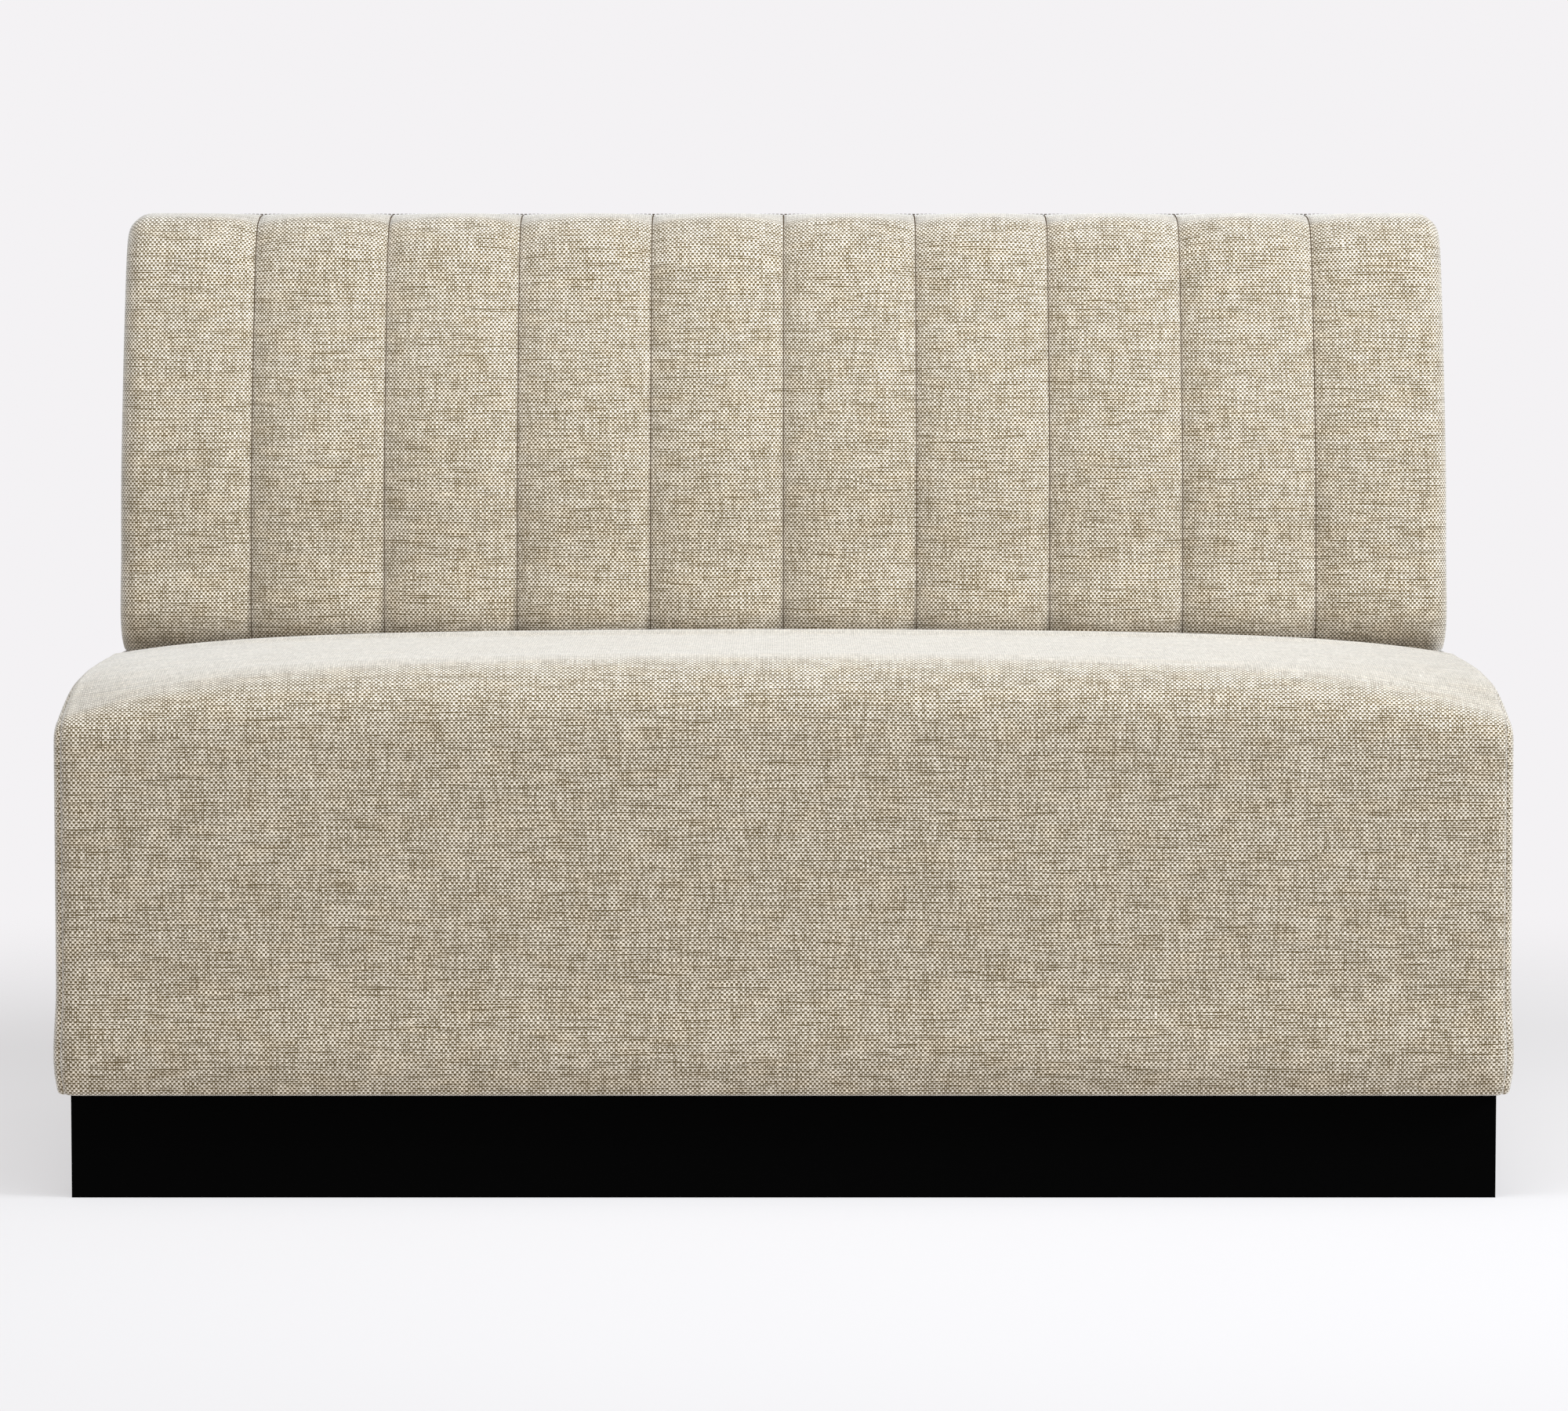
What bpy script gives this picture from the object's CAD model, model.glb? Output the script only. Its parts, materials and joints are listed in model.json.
"""Armless banquette with a waterfall seat and a channelled back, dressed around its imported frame.

Lengths are metres. +X is to the right seen from the front, +Y runs from the seat front to the rear
face and +Z is up. A depth named e is measured rearwards from the seat front, and a path in the side
plane is a list of such depths with their heights.
"""

import json
import logging
import math
from collections.abc import Callable, Sequence
from dataclasses import dataclass, field
from enum import Enum
from itertools import accumulate
from typing import NamedTuple

import bmesh
import bpy
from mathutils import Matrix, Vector


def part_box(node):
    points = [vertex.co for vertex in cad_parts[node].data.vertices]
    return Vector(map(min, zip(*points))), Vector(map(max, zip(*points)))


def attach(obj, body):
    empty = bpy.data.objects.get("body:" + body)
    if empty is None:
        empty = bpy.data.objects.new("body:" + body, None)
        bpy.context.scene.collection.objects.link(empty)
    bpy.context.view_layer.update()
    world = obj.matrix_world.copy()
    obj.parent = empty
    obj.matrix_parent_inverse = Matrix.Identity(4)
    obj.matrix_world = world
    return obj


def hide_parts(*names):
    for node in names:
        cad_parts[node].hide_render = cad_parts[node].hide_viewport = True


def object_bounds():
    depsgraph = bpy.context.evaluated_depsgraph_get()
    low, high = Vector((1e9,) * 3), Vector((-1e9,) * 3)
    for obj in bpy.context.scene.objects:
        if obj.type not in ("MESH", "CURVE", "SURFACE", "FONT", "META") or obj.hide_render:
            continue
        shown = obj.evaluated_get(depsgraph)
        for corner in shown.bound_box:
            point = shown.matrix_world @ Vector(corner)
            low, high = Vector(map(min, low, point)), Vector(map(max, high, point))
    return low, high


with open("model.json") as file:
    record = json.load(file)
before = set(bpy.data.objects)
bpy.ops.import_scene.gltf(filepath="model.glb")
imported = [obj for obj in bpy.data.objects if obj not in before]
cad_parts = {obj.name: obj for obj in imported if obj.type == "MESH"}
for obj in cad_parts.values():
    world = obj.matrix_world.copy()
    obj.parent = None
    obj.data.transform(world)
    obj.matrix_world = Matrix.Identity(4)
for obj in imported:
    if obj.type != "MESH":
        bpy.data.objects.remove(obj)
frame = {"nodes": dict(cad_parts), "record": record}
cad_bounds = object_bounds()
log = logging.getLogger("banquette")

MM = 0.001
QUARTER = math.pi / 2
CLOTH_UV = "cloth"
UPWARD = (0.0, 1.0)

Row = Sequence[float]
Grid = Sequence[Sequence[Vector]]
Triple = tuple[float, float, float]
Range = tuple[float, ...]
Piece = bpy.types.Object
Material = bpy.types.Material
NodeTree = bpy.types.NodeTree
Node = bpy.types.Node
Socket = bpy.types.NodeSocket
Vertex = bmesh.types.BMVert


class Side(Enum):
    """A side of the bench, seen from the front."""

    LEFT = -1
    RIGHT = 1

    @property
    def word(self) -> str:
        """Its name, as it stands in the names of pieces and nodes."""
        return self.name.lower()

    def span(self, low: Vector, high: Vector) -> tuple[float, float]:
        """Return the outer and the inner X of a box on this side."""
        return (high.x, low.x) if self is Side.RIGHT else (low.x, high.x)


class Slot(Enum):
    """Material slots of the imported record."""

    BLACK_PAINT = "black_paint"
    PLYWOOD = "plywood"
    HARDWOOD = "hardwood"
    ZINC = "zinc_steel"
    SPRING = "spring_steel"
    NYLON = "foot_nylon"
    DUST_CLOTH = "dust_cloth"
    FELT = "felt"
    FOAM = "foam"
    WADDING = "wadding"
    LINEN = "linen"


def mix(a: float, b: float, t: float) -> float:
    """Return the value a share t of the way from a to b."""
    return a + (b - a) * t


def ramp(start: float, end: float, steps: int) -> list[float]:
    """Return the values from start to end in even steps."""
    return [mix(start, end, k / steps) for k in range(steps + 1)]


def clamp(value: float, low: float, high: float) -> float:
    """Return the value, or the nearer limit if it lies outside them."""
    return max(low, min(high, value))


def crowded(step: int, steps: int) -> float:
    """Return the share of the way at a step, with the steps crowded towards both ends."""
    return (1 - math.cos(math.pi * step / steps)) / 2


def smooth_rows(controls: Sequence[Row], steps: Sequence[int]) -> list[list[float]]:
    """Draw a smooth line through control rows, evenly within each interval.

    Args:
        controls: Rows whose first two values are the place in the side plane.
        steps: Number of rows to draw in each interval between two controls.

    Returns:
        The rows, from the first control to the last.
    """
    gaps = [max(math.dist(a[:2], b[:2]), MM / 100) for a, b in zip(controls, controls[1:])]
    slopes = [[(b - a) / gap for a, b in zip(low, high)]
              for low, high, gap in zip(controls, controls[1:], gaps)]
    tangents = [slopes[0]]
    for k in range(1, len(controls) - 1):
        share = gaps[k - 1] / (gaps[k - 1] + gaps[k])
        tangents.append([mix(a, b, share) for a, b in zip(slopes[k - 1], slopes[k])])
    tangents.append(slopes[-1])
    rows = []
    for k, count in enumerate(steps):
        for step in range(count):
            t = step / count
            keep = (1 + 2 * t) * (1 - t) ** 2
            leave = t * (1 - t) ** 2 * gaps[k]
            reach = t * t * (t - 1) * gaps[k]
            rows.append([
                keep * a + leave * ta + (1 - keep) * b + reach * tb
                for a, ta, b, tb in zip(controls[k], tangents[k], controls[k + 1], tangents[k + 1])
            ])
    rows.append(list(controls[-1]))
    return rows


def path_normals(rows: Sequence[Row]) -> list[tuple[float, float]]:
    """Work out the outward normals of a side-plane path.

    Args:
        rows: Rows whose first two values are the place in the side plane.

    Returns:
        The normal at each row, as depth and height.
    """
    normals = []
    for k in range(len(rows)):
        a = rows[max(k - 1, 0)]
        b = rows[min(k + 1, len(rows) - 1)]
        length = math.dist(a[:2], b[:2])
        normals.append((-(b[1] - a[1]) / length, (b[0] - a[0]) / length))
    return normals


def path_lengths(rows: Sequence[Row]) -> list[float]:
    """Return the length along a side-plane path at each of its rows."""
    return list(accumulate([0.0] + [math.dist(a[:2], b[:2]) for a, b in zip(rows, rows[1:])]))


def line_lengths(line: Sequence[Vector]) -> list[float]:
    """Return the length along a line at each of its points."""
    return list(accumulate([0.0] + [(b - a).length for a, b in zip(line, line[1:])]))


class Surface:
    """A sheet under construction: a bmesh whose vertices know their place on the flat cloth."""

    def __init__(self) -> None:
        """Start an empty sheet."""
        self.bm = bmesh.new()
        self.across = self.bm.verts.layers.float.new("across")
        self.along = self.bm.verts.layers.float.new("along")
        self.station = self.bm.verts.layers.int.new("station")
        self.level = self.bm.verts.layers.int.new("level")

    @classmethod
    def laid(cls, points: Grid, flat: Callable[[Vector], Sequence[float]]) -> "Surface":
        """Start a sheet whose place on the flat cloth follows from where each point is.

        Args:
            points: Places of the vertices, one list for each row.
            flat: Gives the place on the flat cloth of a point.

        Returns:
            The sheet.
        """
        sheet = cls()
        sheet.lay(points, lambda row, column: flat(points[row][column]))
        return sheet

    def lay(self, points: Grid, cloth: Callable[[int, int], Sequence[float]]) -> None:
        """Shape a grid into the sheet.

        Args:
            points: Places of the vertices, one list for each row.
            cloth: Gives the place on the flat cloth of a row and a column.
        """
        columns = len(points[0])
        made = bmesh.ops.create_grid(
            self.bm, x_segments=columns - 1, y_segments=len(points) - 1, size=0.5)
        for index, vertex in enumerate(made["verts"]):
            row, column = divmod(index, columns)
            vertex.co = points[row][column]
            vertex[self.across], vertex[self.along] = cloth(row, column)
            vertex[self.station] = column
            vertex[self.level] = row

    def chain(self, picks: Sequence[Vertex], steps: int, place: Callable[[int, int], Vector],
              cloth: Callable[[int, int], Sequence[float]]) -> None:
        """Extrude a chain of border vertices outwards in several steps.

        Args:
            picks: The vertices, in order along the border.
            steps: Number of extrusions.
            place: Gives the place of vertex k of the chain after a step, counted from 1.
            cloth: Gives the place on the flat cloth in the same way.
        """
        current = list(picks)
        for step in range(1, steps + 1):
            for k, vertex in enumerate(current):
                vertex[self.station] = k
            edges = [self.bm.edges.get((a, b)) for a, b in zip(current, current[1:])]
            made = bmesh.ops.extrude_edge_only(self.bm, edges=edges)
            fresh = [item for item in made["geom"] if isinstance(item, Vertex)]
            current = sorted(fresh, key=lambda vertex: vertex[self.station])
            for k, vertex in enumerate(current):
                vertex.co = place(k, step)
                vertex[self.across], vertex[self.along] = cloth(k, step)

    def close(self, behind: Callable[[Vertex], Sequence[float]]) -> None:
        """Extrude all faces into a solid.

        Args:
            behind: Gives the place of a vertex of the other side, which starts where the sheet is.
        """
        made = bmesh.ops.extrude_face_region(self.bm, geom=self.bm.faces[:])
        for item in made["geom"]:
            if isinstance(item, Vertex):
                item.co = behind(item)
        bmesh.ops.recalc_face_normals(self.bm, faces=self.bm.faces[:])

    def face_towards(self, direction: Vector) -> None:
        """Turn all faces so that the sheet as a whole looks one way.

        Args:
            direction: The way that it looks.
        """
        bmesh.ops.recalc_face_normals(self.bm, faces=self.bm.faces[:])
        self.bm.normal_update()
        total = sum((face.normal * face.calc_area() for face in self.bm.faces), Vector())
        if total.dot(direction) < 0:
            bmesh.ops.reverse_faces(self.bm, faces=self.bm.faces[:])

    def finish(self, name: str, material: Material) -> Piece:
        """Write the cloth coordinates as a UV map and make an object.

        Args:
            name: Name of the piece.
            material: Its finish.

        Returns:
            The new object.
        """
        uv_map = self.bm.loops.layers.uv.new(CLOTH_UV)
        for face in self.bm.faces:
            for loop in face.loops:
                loop[uv_map].uv = (loop.vert[self.across], loop.vert[self.along])
        return make_object(self.bm, name, material)


def add_object(name: str, data: bpy.types.ID) -> Piece:
    """Put a mesh, curve, lamp or camera into the scene."""
    made = bpy.data.objects.new(name, data)
    bpy.context.scene.collection.objects.link(made)
    return made


def make_object(bm: bmesh.types.BMesh, name: str, material: Material) -> Piece:
    """Turn a bmesh into a smooth object in the scene and free it.

    Args:
        bm: The bmesh.
        name: Name of the object.
        material: Its finish.

    Returns:
        The new object.
    """
    mesh = bpy.data.meshes.new(name)
    bm.to_mesh(mesh)
    bm.free()
    mesh.shade_smooth()
    mesh.materials.append(material)
    return add_object(name, mesh)


def give_thickness(piece: Piece, thickness: float) -> None:
    """Thicken a sheet inwards from its outer face.

    Args:
        piece: The sheet.
        thickness: Thickness of its cloth.
    """
    solid = piece.modifiers.new("thickness", "SOLIDIFY")
    solid.thickness = thickness
    solid.offset = -1
    solid.use_even_offset = False


def settle(piece: Piece, slot: Slot, nodes: Sequence[str], body: str = "root") -> None:
    """Say where a finished piece belongs.

    Args:
        piece: The piece.
        slot: Material slot that its finish stands for.
        nodes: CAD nodes that it replaces.
        body: CAD body that it rides on.
    """
    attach(piece, body)
    if nodes:
        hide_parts(*nodes)
    log.info("%s rides on %s and replaces %s", piece.name, body, ", ".join(nodes) or "nothing")


@dataclass(frozen=True)
class Cloud:
    """Cloudy noise over a surface.

    Attributes:
        scale: Frequency along each axis, per metre.
        shift: Place in the noise, which keeps one cloud apart from another.
        detail: How much finer noise it has.
        distortion: How much it is warped.
    """

    scale: Triple
    shift: Triple = (0.0, 0.0, 0.0)
    detail: float = 2.0
    distortion: float = 0.0


@dataclass(frozen=True)
class Streak:
    """Noise that runs along a yarn and changes from yarn to yarn.

    Attributes:
        run: Frequency along the yarn, per metre.
        step: Distance in the noise from one yarn to the next.
        shift: Place in the noise, which keeps one streak apart from another.
        detail: How much finer noise it has.
    """

    run: float
    step: float
    shift: float
    detail: float = 2.0


class Shader:
    """Writes the nodes of one material or node group."""

    def __init__(self, tree: NodeTree) -> None:
        """Work in a node tree."""
        self.tree = tree

    def node(self, kind: str, values: dict[str | int, object] | None = None,
             **settings: object) -> Node:
        """Add a node.

        Args:
            kind: Type of the node.
            values: Values and outputs for its inputs, by name or number.
            settings: Its properties.

        Returns:
            The node.
        """
        made = self.tree.nodes.new(kind)
        for name, value in settings.items():
            setattr(made, name, value)
        self.feed(made, values or {})
        return made

    def feed(self, node: Node, values: dict[str | int, object]) -> None:
        """Give a node's inputs values, or join them to outputs.

        Args:
            node: The node.
            values: Values and outputs for its inputs, by name or number.
        """
        for name, value in values.items():
            if isinstance(value, Socket):
                self.tree.links.new(value, node.inputs[name])
            else:
                node.inputs[name].default_value = value

    def math(self, operation: str, *values: object) -> Socket:
        """Calculate with numbers or sockets."""
        return self.node("ShaderNodeMath", dict(enumerate(values)), operation=operation).outputs[0]

    def times(self, a: object, b: object) -> Socket:
        """Multiply two numbers or sockets."""
        return self.math("MULTIPLY", a, b)

    def plus(self, a: object, b: object) -> Socket:
        """Add two numbers or sockets."""
        return self.math("ADD", a, b)

    def weigh(self, values: Sequence[Socket], shares: Sequence[float]) -> Socket:
        """Add values up, each times its share.

        Args:
            values: Outputs of nodes.
            shares: A number for each of them.

        Returns:
            The total.
        """
        total = self.times(values[-1], shares[-1])
        for value, share in zip(values[-2::-1], shares[-2::-1]):
            total = self.math("MULTIPLY_ADD", value, share, total)
        return total

    def spread(self, value: object, low: float, high: float, to_low: float = 0.0,
               to_high: float = 1.0) -> Socket:
        """Map a range of values to another smoothly, and hold it at both ends.

        Args:
            value: The value.
            low, high: Range that it comes from.
            to_low, to_high: Range that it goes to.

        Returns:
            The mapped value.
        """
        values = {"Value": value, "From Min": low, "From Max": high, "To Min": to_low,
                  "To Max": to_high}
        made = self.node("ShaderNodeMapRange", values, interpolation_type="SMOOTHSTEP")
        return made.outputs["Result"]

    def combine(self, *values: object) -> Socket:
        """Join three numbers into a vector."""
        return self.node("ShaderNodeCombineXYZ", dict(enumerate(values))).outputs[0]

    def split(self, vector: Socket) -> tuple[Socket, ...]:
        """Split a vector into its three numbers."""
        return tuple(self.node("ShaderNodeSeparateXYZ", {0: vector}).outputs)

    def noise(self, vector: Socket, scale: object, detail: float,
              distortion: float = 0.0) -> Socket:
        """Cloudy noise between 0 and 1."""
        values = {"Vector": vector, "Scale": scale, "Detail": detail, "Distortion": distortion}
        return self.node("ShaderNodeTexNoise", values).outputs["Fac"]

    def cloud(self, vector: Socket, cloud: Cloud) -> Socket:
        """Noise of a cloud over a surface."""
        values = {"Vector": vector, "Scale": cloud.scale, "Location": cloud.shift}
        place = self.node("ShaderNodeMapping", values).outputs[0]
        return self.noise(place, 1.0, cloud.detail, cloud.distortion)

    def dice(self, number: Socket) -> Socket:
        """Random value between 0 and 1 for each whole number."""
        made = self.node("ShaderNodeTexWhiteNoise", {"W": number}, noise_dimensions="1D")
        return made.outputs["Value"]

    def blend(self, share: object, a: Socket, b: Socket, how: str = "MIX") -> Socket:
        """Mix two colours."""
        made = self.node("ShaderNodeMix", {"Factor": share, "A": a, "B": b}, data_type="RGBA",
                         blend_type=how)
        return made.outputs["Result"]

    def bump(self, height: Socket, distance: float, strength: float) -> Socket:
        """Turn a height into a surface normal."""
        values = {"Height": height, "Distance": distance, "Strength": strength}
        return self.node("ShaderNodeBump", values).outputs["Normal"]


def rgba(colour: Sequence[float]) -> tuple[float, float, float, float]:
    """Return a colour with full opacity."""
    return (colour[0], colour[1], colour[2], 1.0)


@dataclass
class Group:
    """A shader node group that several finishes share.

    Attributes:
        name: Name of the group.
        numbers: Number inputs with their usual values.
        colours: Colour inputs with their usual values.
        outputs: Outputs, each "Color" or a number.
    """

    name: str
    numbers: dict[str, float] = field(default_factory=dict)
    colours: dict[str, Triple] = field(default_factory=dict)
    outputs: tuple[str, ...] = ("Color", "Height")

    def open(self) -> tuple[NodeTree, Shader, Node, Node]:
        """Make the empty group with its sockets.

        Returns:
            The tree, its writer, its input node and its output node.
        """
        tree = bpy.data.node_groups.new(self.name, "ShaderNodeTree")
        tree.interface.new_socket("Vector", in_out="INPUT", socket_type="NodeSocketVector")
        for name, value in self.numbers.items():
            socket = tree.interface.new_socket(name, in_out="INPUT", socket_type="NodeSocketFloat")
            socket.default_value = value
        for name, colour in self.colours.items():
            socket = tree.interface.new_socket(name, in_out="INPUT", socket_type="NodeSocketColor")
            socket.default_value = rgba(colour)
        for name in self.outputs:
            kind = "NodeSocketColor" if name == "Color" else "NodeSocketFloat"
            tree.interface.new_socket(name, in_out="OUTPUT", socket_type=kind)
        shader = Shader(tree)
        return tree, shader, shader.node("NodeGroupInput"), shader.node("NodeGroupOutput")


@dataclass
class PlainWeave:
    """Plain weave of heathered yarns that run over and under each other.

    The warp runs along the cloth and the weft across it. A range maps its first two values to 0
    and 1, or to the two values after them.

    Attributes:
        drift, sway, wobble, thick_weft, thick_warp, slip: Ways in which yarns stray.
        weft_stray: Shares of sway, drift and thick weft.
        warp_stray: Shares of slip, wobble, drift and thick warp.
        hollow_range: Where the yarns leave a hollow between them.
        hollow_weight: Darkness of a hollow.
        speck, speck_range, patch, patch_range: Variation between and among hollows.
        groove_power: Narrowness of the grooves between yarns.
        dark_rows, line_range: Grooves that are dark as a line.
        pale_warp, pale_weft: Pale stretches of yarn, which are slubs.
        warp_slub_range, weft_slub_range: Where a stretch is a slub.
        groove_range, channel_range: Faint darkness of all other grooves, across and along.
        slub_light, slub_share, slub_height: What a slub does to hollows, colour and height.
        darkest: Limit of the darkness.
        weft_tone, warp_tone, cloud: Heather of the yarns and of the whole cloth.
        tones: Their shares.
        tone_range: How they turn into darkness.
        crest_range: Darkness from the low to the high places of the yarns.
        fleck, fleck_range: Fibres.
        tan, tan_range: Where the cloth takes the warm tint.
        ground, swell, sink: Height of the cloth, of its yarns and of its dark places.
        rough_range: Roughness from the low to the high places.
    """

    drift: Cloud = Cloud((9.0, 9.0, 1.0), detail=1.0)
    thick_weft: Cloud = Cloud((14.0, 170.0, 1.0))
    thick_warp: Cloud = Cloud((170.0, 14.0, 1.0), (0.0, 9.0, 3.0))
    wobble: Cloud = Cloud((190.0, 190.0, 1.0), (4.0, 1.0, 6.0), 1.0)
    sway: Cloud = Cloud((140.0, 230.0, 1.0), (2.0, 8.0, 3.0), 1.0)
    slip: Streak = Streak(70.0, 2.3, 7.0, 1.0)
    weft_stray: Range = (0.2, 0.6, 1.7)
    warp_stray: Range = (0.4, 0.3, 0.8, 1.5)
    hollow_range: Range = (-0.2, 0.5)
    hollow_weight: float = 1.2
    speck: Cloud = Cloud((330.0, 420.0, 1.0), detail=1.0)
    speck_range: Range = (0.22, 0.62, 0.55, 1.2)
    patch: Cloud = Cloud((60.0, 160.0, 1.0), (7.0, 3.0, 1.0))
    patch_range: Range = (0.3, 0.62, 0.8, 1.0)
    groove_power: float = 4.0
    dark_rows: Streak = Streak(34.0, 3.7, 0.0)
    line_range: Range = (0.46, 0.68)
    pale_warp: Streak = Streak(42.0, 3.7, 5.0)
    pale_weft: Streak = Streak(42.0, 3.3, 8.0)
    warp_slub_range: Range = (0.66, 0.84)
    weft_slub_range: Range = (0.66, 0.84, 0.0, 0.8)
    groove_range: Range = (0.35, 0.65, 0.3, 0.15)
    channel_range: Range = (0.35, 0.6, 0.45, 0.15)
    slub_light: float = -0.4
    slub_share: float = -0.1
    slub_height: float = 0.2
    darkest: float = 1.1
    weft_tone: Streak = Streak(28.0, 7.37, 2.0, 3.0)
    warp_tone: Streak = Streak(34.0, 7.37, 9.0, 3.0)
    cloud: Cloud = Cloud((30.0, 14.0, 1.0), detail=3.0)
    tones: Range = (0.48, 0.47, 0.05)
    tone_range: Range = (0.6, 0.4)
    crest_range: Range = (-0.5, 0.7, 0.3, 0.0)
    fleck: Cloud = Cloud((420.0, 560.0, 1.0), (1.0, 5.0, 2.0), 1.0)
    fleck_range: Range = (-0.14, 0.14, -0.05, 0.05)
    tan: Cloud = Cloud((26.0, 60.0, 1.0), (3.0, 2.0, 8.0), 3.0)
    tan_range: Range = (0.42, 0.68)
    ground: float = 0.6
    swell: float = 0.3
    sink: float = 0.6
    rough_range: Range = (0.1, 0.9, 0.96, 0.84)

    def __post_init__(self) -> None:
        """Open the group and find out where the yarns run."""
        group = Group(
            "plain weave",
            {"Pitch across": 2.1 * MM, "Pitch along": 2.28 * MM, "Heather": 0.5, "Lines": 0.5,
             "Depth": 0.8, "Unevenness": 1.0 * MM},
            {"Light yarn": (0.78, 0.71, 0.56), "Dark yarn": (0.06, 0.045, 0.025),
             "Warm tint": (1.0, 0.97, 0.92)},
            ("Color", "Height", "Roughness"),
        )
        self.tree, self.shade, self.given, self.result = group.open()
        self.vector = self.given.outputs["Vector"]
        self.u, self.v, _ = self.shade.split(self.vector)
        drift = self.stray(self.drift)
        self.weft_place = self.yarn_place(self.v, "Pitch along", (
            self.stray(self.sway), drift, self.stray(self.thick_weft)), self.weft_stray)
        self.weft_number = self.shade.math("FLOOR", self.weft_place)
        slip = self.around_zero(self.weft_streak(self.slip, self.weft_number))
        self.warp_place = self.yarn_place(self.u, "Pitch across", (
            slip, self.stray(self.wobble), drift, self.stray(self.thick_warp)), self.warp_stray)
        self.warp_number = self.shade.math("FLOOR", self.warp_place)

    def around_zero(self, noise: Socket) -> Socket:
        """Centre a noise on zero."""
        return self.shade.math("SUBTRACT", noise, 0.5)

    def stray(self, cloud: Cloud) -> Socket:
        """Return a cloud that is centred on zero."""
        return self.around_zero(self.shade.cloud(self.vector, cloud))

    def yarn_place(self, position: Socket, pitch: str, strays: Sequence[Socket],
                   shares: Range) -> Socket:
        """Return the place across a set of yarns, counted in yarns.

        Args:
            position: Place on the cloth, across the yarns.
            pitch: Input with the distance between yarns.
            strays: Ways in which the yarns stray.
            shares: Their shares.

        Returns:
            The number of the yarn with its fraction.
        """
        shade = self.shade
        stray = shade.times(shade.weigh(strays, shares), self.given.outputs["Unevenness"])
        return shade.math("DIVIDE", shade.plus(position, stray), self.given.outputs[pitch])

    def weft_streak(self, streak: Streak, number: Socket) -> Socket:
        """Return the noise of a streak along the weft yarns with the given numbers."""
        place = self.shade.combine(self.shade.times(self.u, streak.run),
                                   self.shade.times(number, streak.step), streak.shift)
        return self.shade.noise(place, 1.0, streak.detail)

    def warp_streak(self, streak: Streak) -> Socket:
        """Return the noise of a streak along the warp yarns."""
        place = self.shade.combine(self.shade.times(self.warp_number, streak.step),
                                   self.shade.times(self.v, streak.run), streak.shift)
        return self.shade.noise(place, 1.0, streak.detail)

    def relief(self) -> tuple[Socket, Socket, Socket]:
        """Work out the form of the weave.

        Returns:
            The rise of the yarns, the darkness between them, and their slubs.
        """
        shade = self.shade
        warp_angle = shade.times(self.warp_place, math.pi)
        weft_angle = shade.times(self.weft_place, math.pi)
        over_warp = shade.math("SINE", warp_angle)
        over_weft = shade.math("SINE", weft_angle)
        between = shade.math("COSINE", weft_angle)
        narrow = shade.times(between, shade.math("ABSOLUTE", between))
        hollow = shade.spread(shade.times(over_warp, narrow), *self.hollow_range)
        groove = shade.math("POWER", shade.math("ABSOLUTE", between), self.groove_power)
        channel = shade.math("POWER", shade.math("ABSOLUTE", shade.math("COSINE", warp_angle)),
                             self.groove_power)
        patch = shade.cloud(self.vector, self.patch)
        hollow_share = shade.times(
            shade.spread(shade.cloud(self.vector, self.speck), *self.speck_range),
            shade.spread(patch, *self.patch_range))
        rows = self.weft_streak(self.dark_rows, shade.math("ROUND", self.weft_place))
        line = shade.times(shade.times(groove, shade.spread(rows, *self.line_range)),
                           self.given.outputs["Lines"])
        pale_warp = self.warp_streak(self.pale_warp)
        pale_weft = self.weft_streak(self.pale_weft, self.weft_number)
        slub = shade.math("MAXIMUM", shade.spread(pale_warp, *self.warp_slub_range),
                          shade.spread(pale_weft, *self.weft_slub_range))
        faint = shade.plus(shade.times(groove, shade.spread(patch, *self.groove_range)),
                           shade.times(channel, shade.spread(pale_warp, *self.channel_range)))
        pits = shade.math("MULTIPLY_ADD", shade.times(hollow, hollow_share), self.hollow_weight,
                          faint)
        softened = shade.times(pits, shade.math("MULTIPLY_ADD", slub, self.slub_light, 1.0))
        dark = shade.math("MINIMUM", shade.plus(line, softened), self.darkest)
        return shade.times(over_warp, over_weft), dark, slub

    def build(self) -> NodeTree:
        """Finish the group.

        Returns:
            A group that turns cloth coordinates in metres into a colour, a height and a roughness.
        """
        shade = self.shade
        rise, dark, slub = self.relief()
        tone = shade.weigh((
            self.weft_streak(self.weft_tone, self.weft_number), self.warp_streak(self.warp_tone),
            shade.cloud(self.vector, self.cloud)), self.tones)
        heather = shade.times(shade.spread(tone, *self.tone_range), self.given.outputs["Heather"])
        depth = shade.times(dark, self.given.outputs["Depth"])
        crest = shade.spread(rise, *self.crest_range)
        fleck = shade.spread(self.stray(self.fleck), *self.fleck_range)
        share = shade.plus(shade.plus(depth, crest), heather)
        share = shade.plus(shade.math("MULTIPLY_ADD", slub, self.slub_share, share), fleck)
        share = shade.math("MAXIMUM", shade.math("MINIMUM", share, 1.0), 0.0)
        colour = shade.blend(share, self.given.outputs["Light yarn"],
                             self.given.outputs["Dark yarn"])
        tan = shade.spread(shade.cloud(self.vector, self.tan), *self.tan_range)
        colour = shade.blend(tan, colour, self.given.outputs["Warm tint"], "MULTIPLY")
        height = shade.math("SUBTRACT", shade.math("MULTIPLY_ADD", rise, self.swell, self.ground),
                            shade.times(dark, self.sink))
        shade.feed(self.result, {
            "Color": colour, "Height": shade.math("MULTIPLY_ADD", slub, self.slub_height, height),
            "Roughness": shade.spread(height, *self.rough_range)})
        return self.tree


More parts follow.
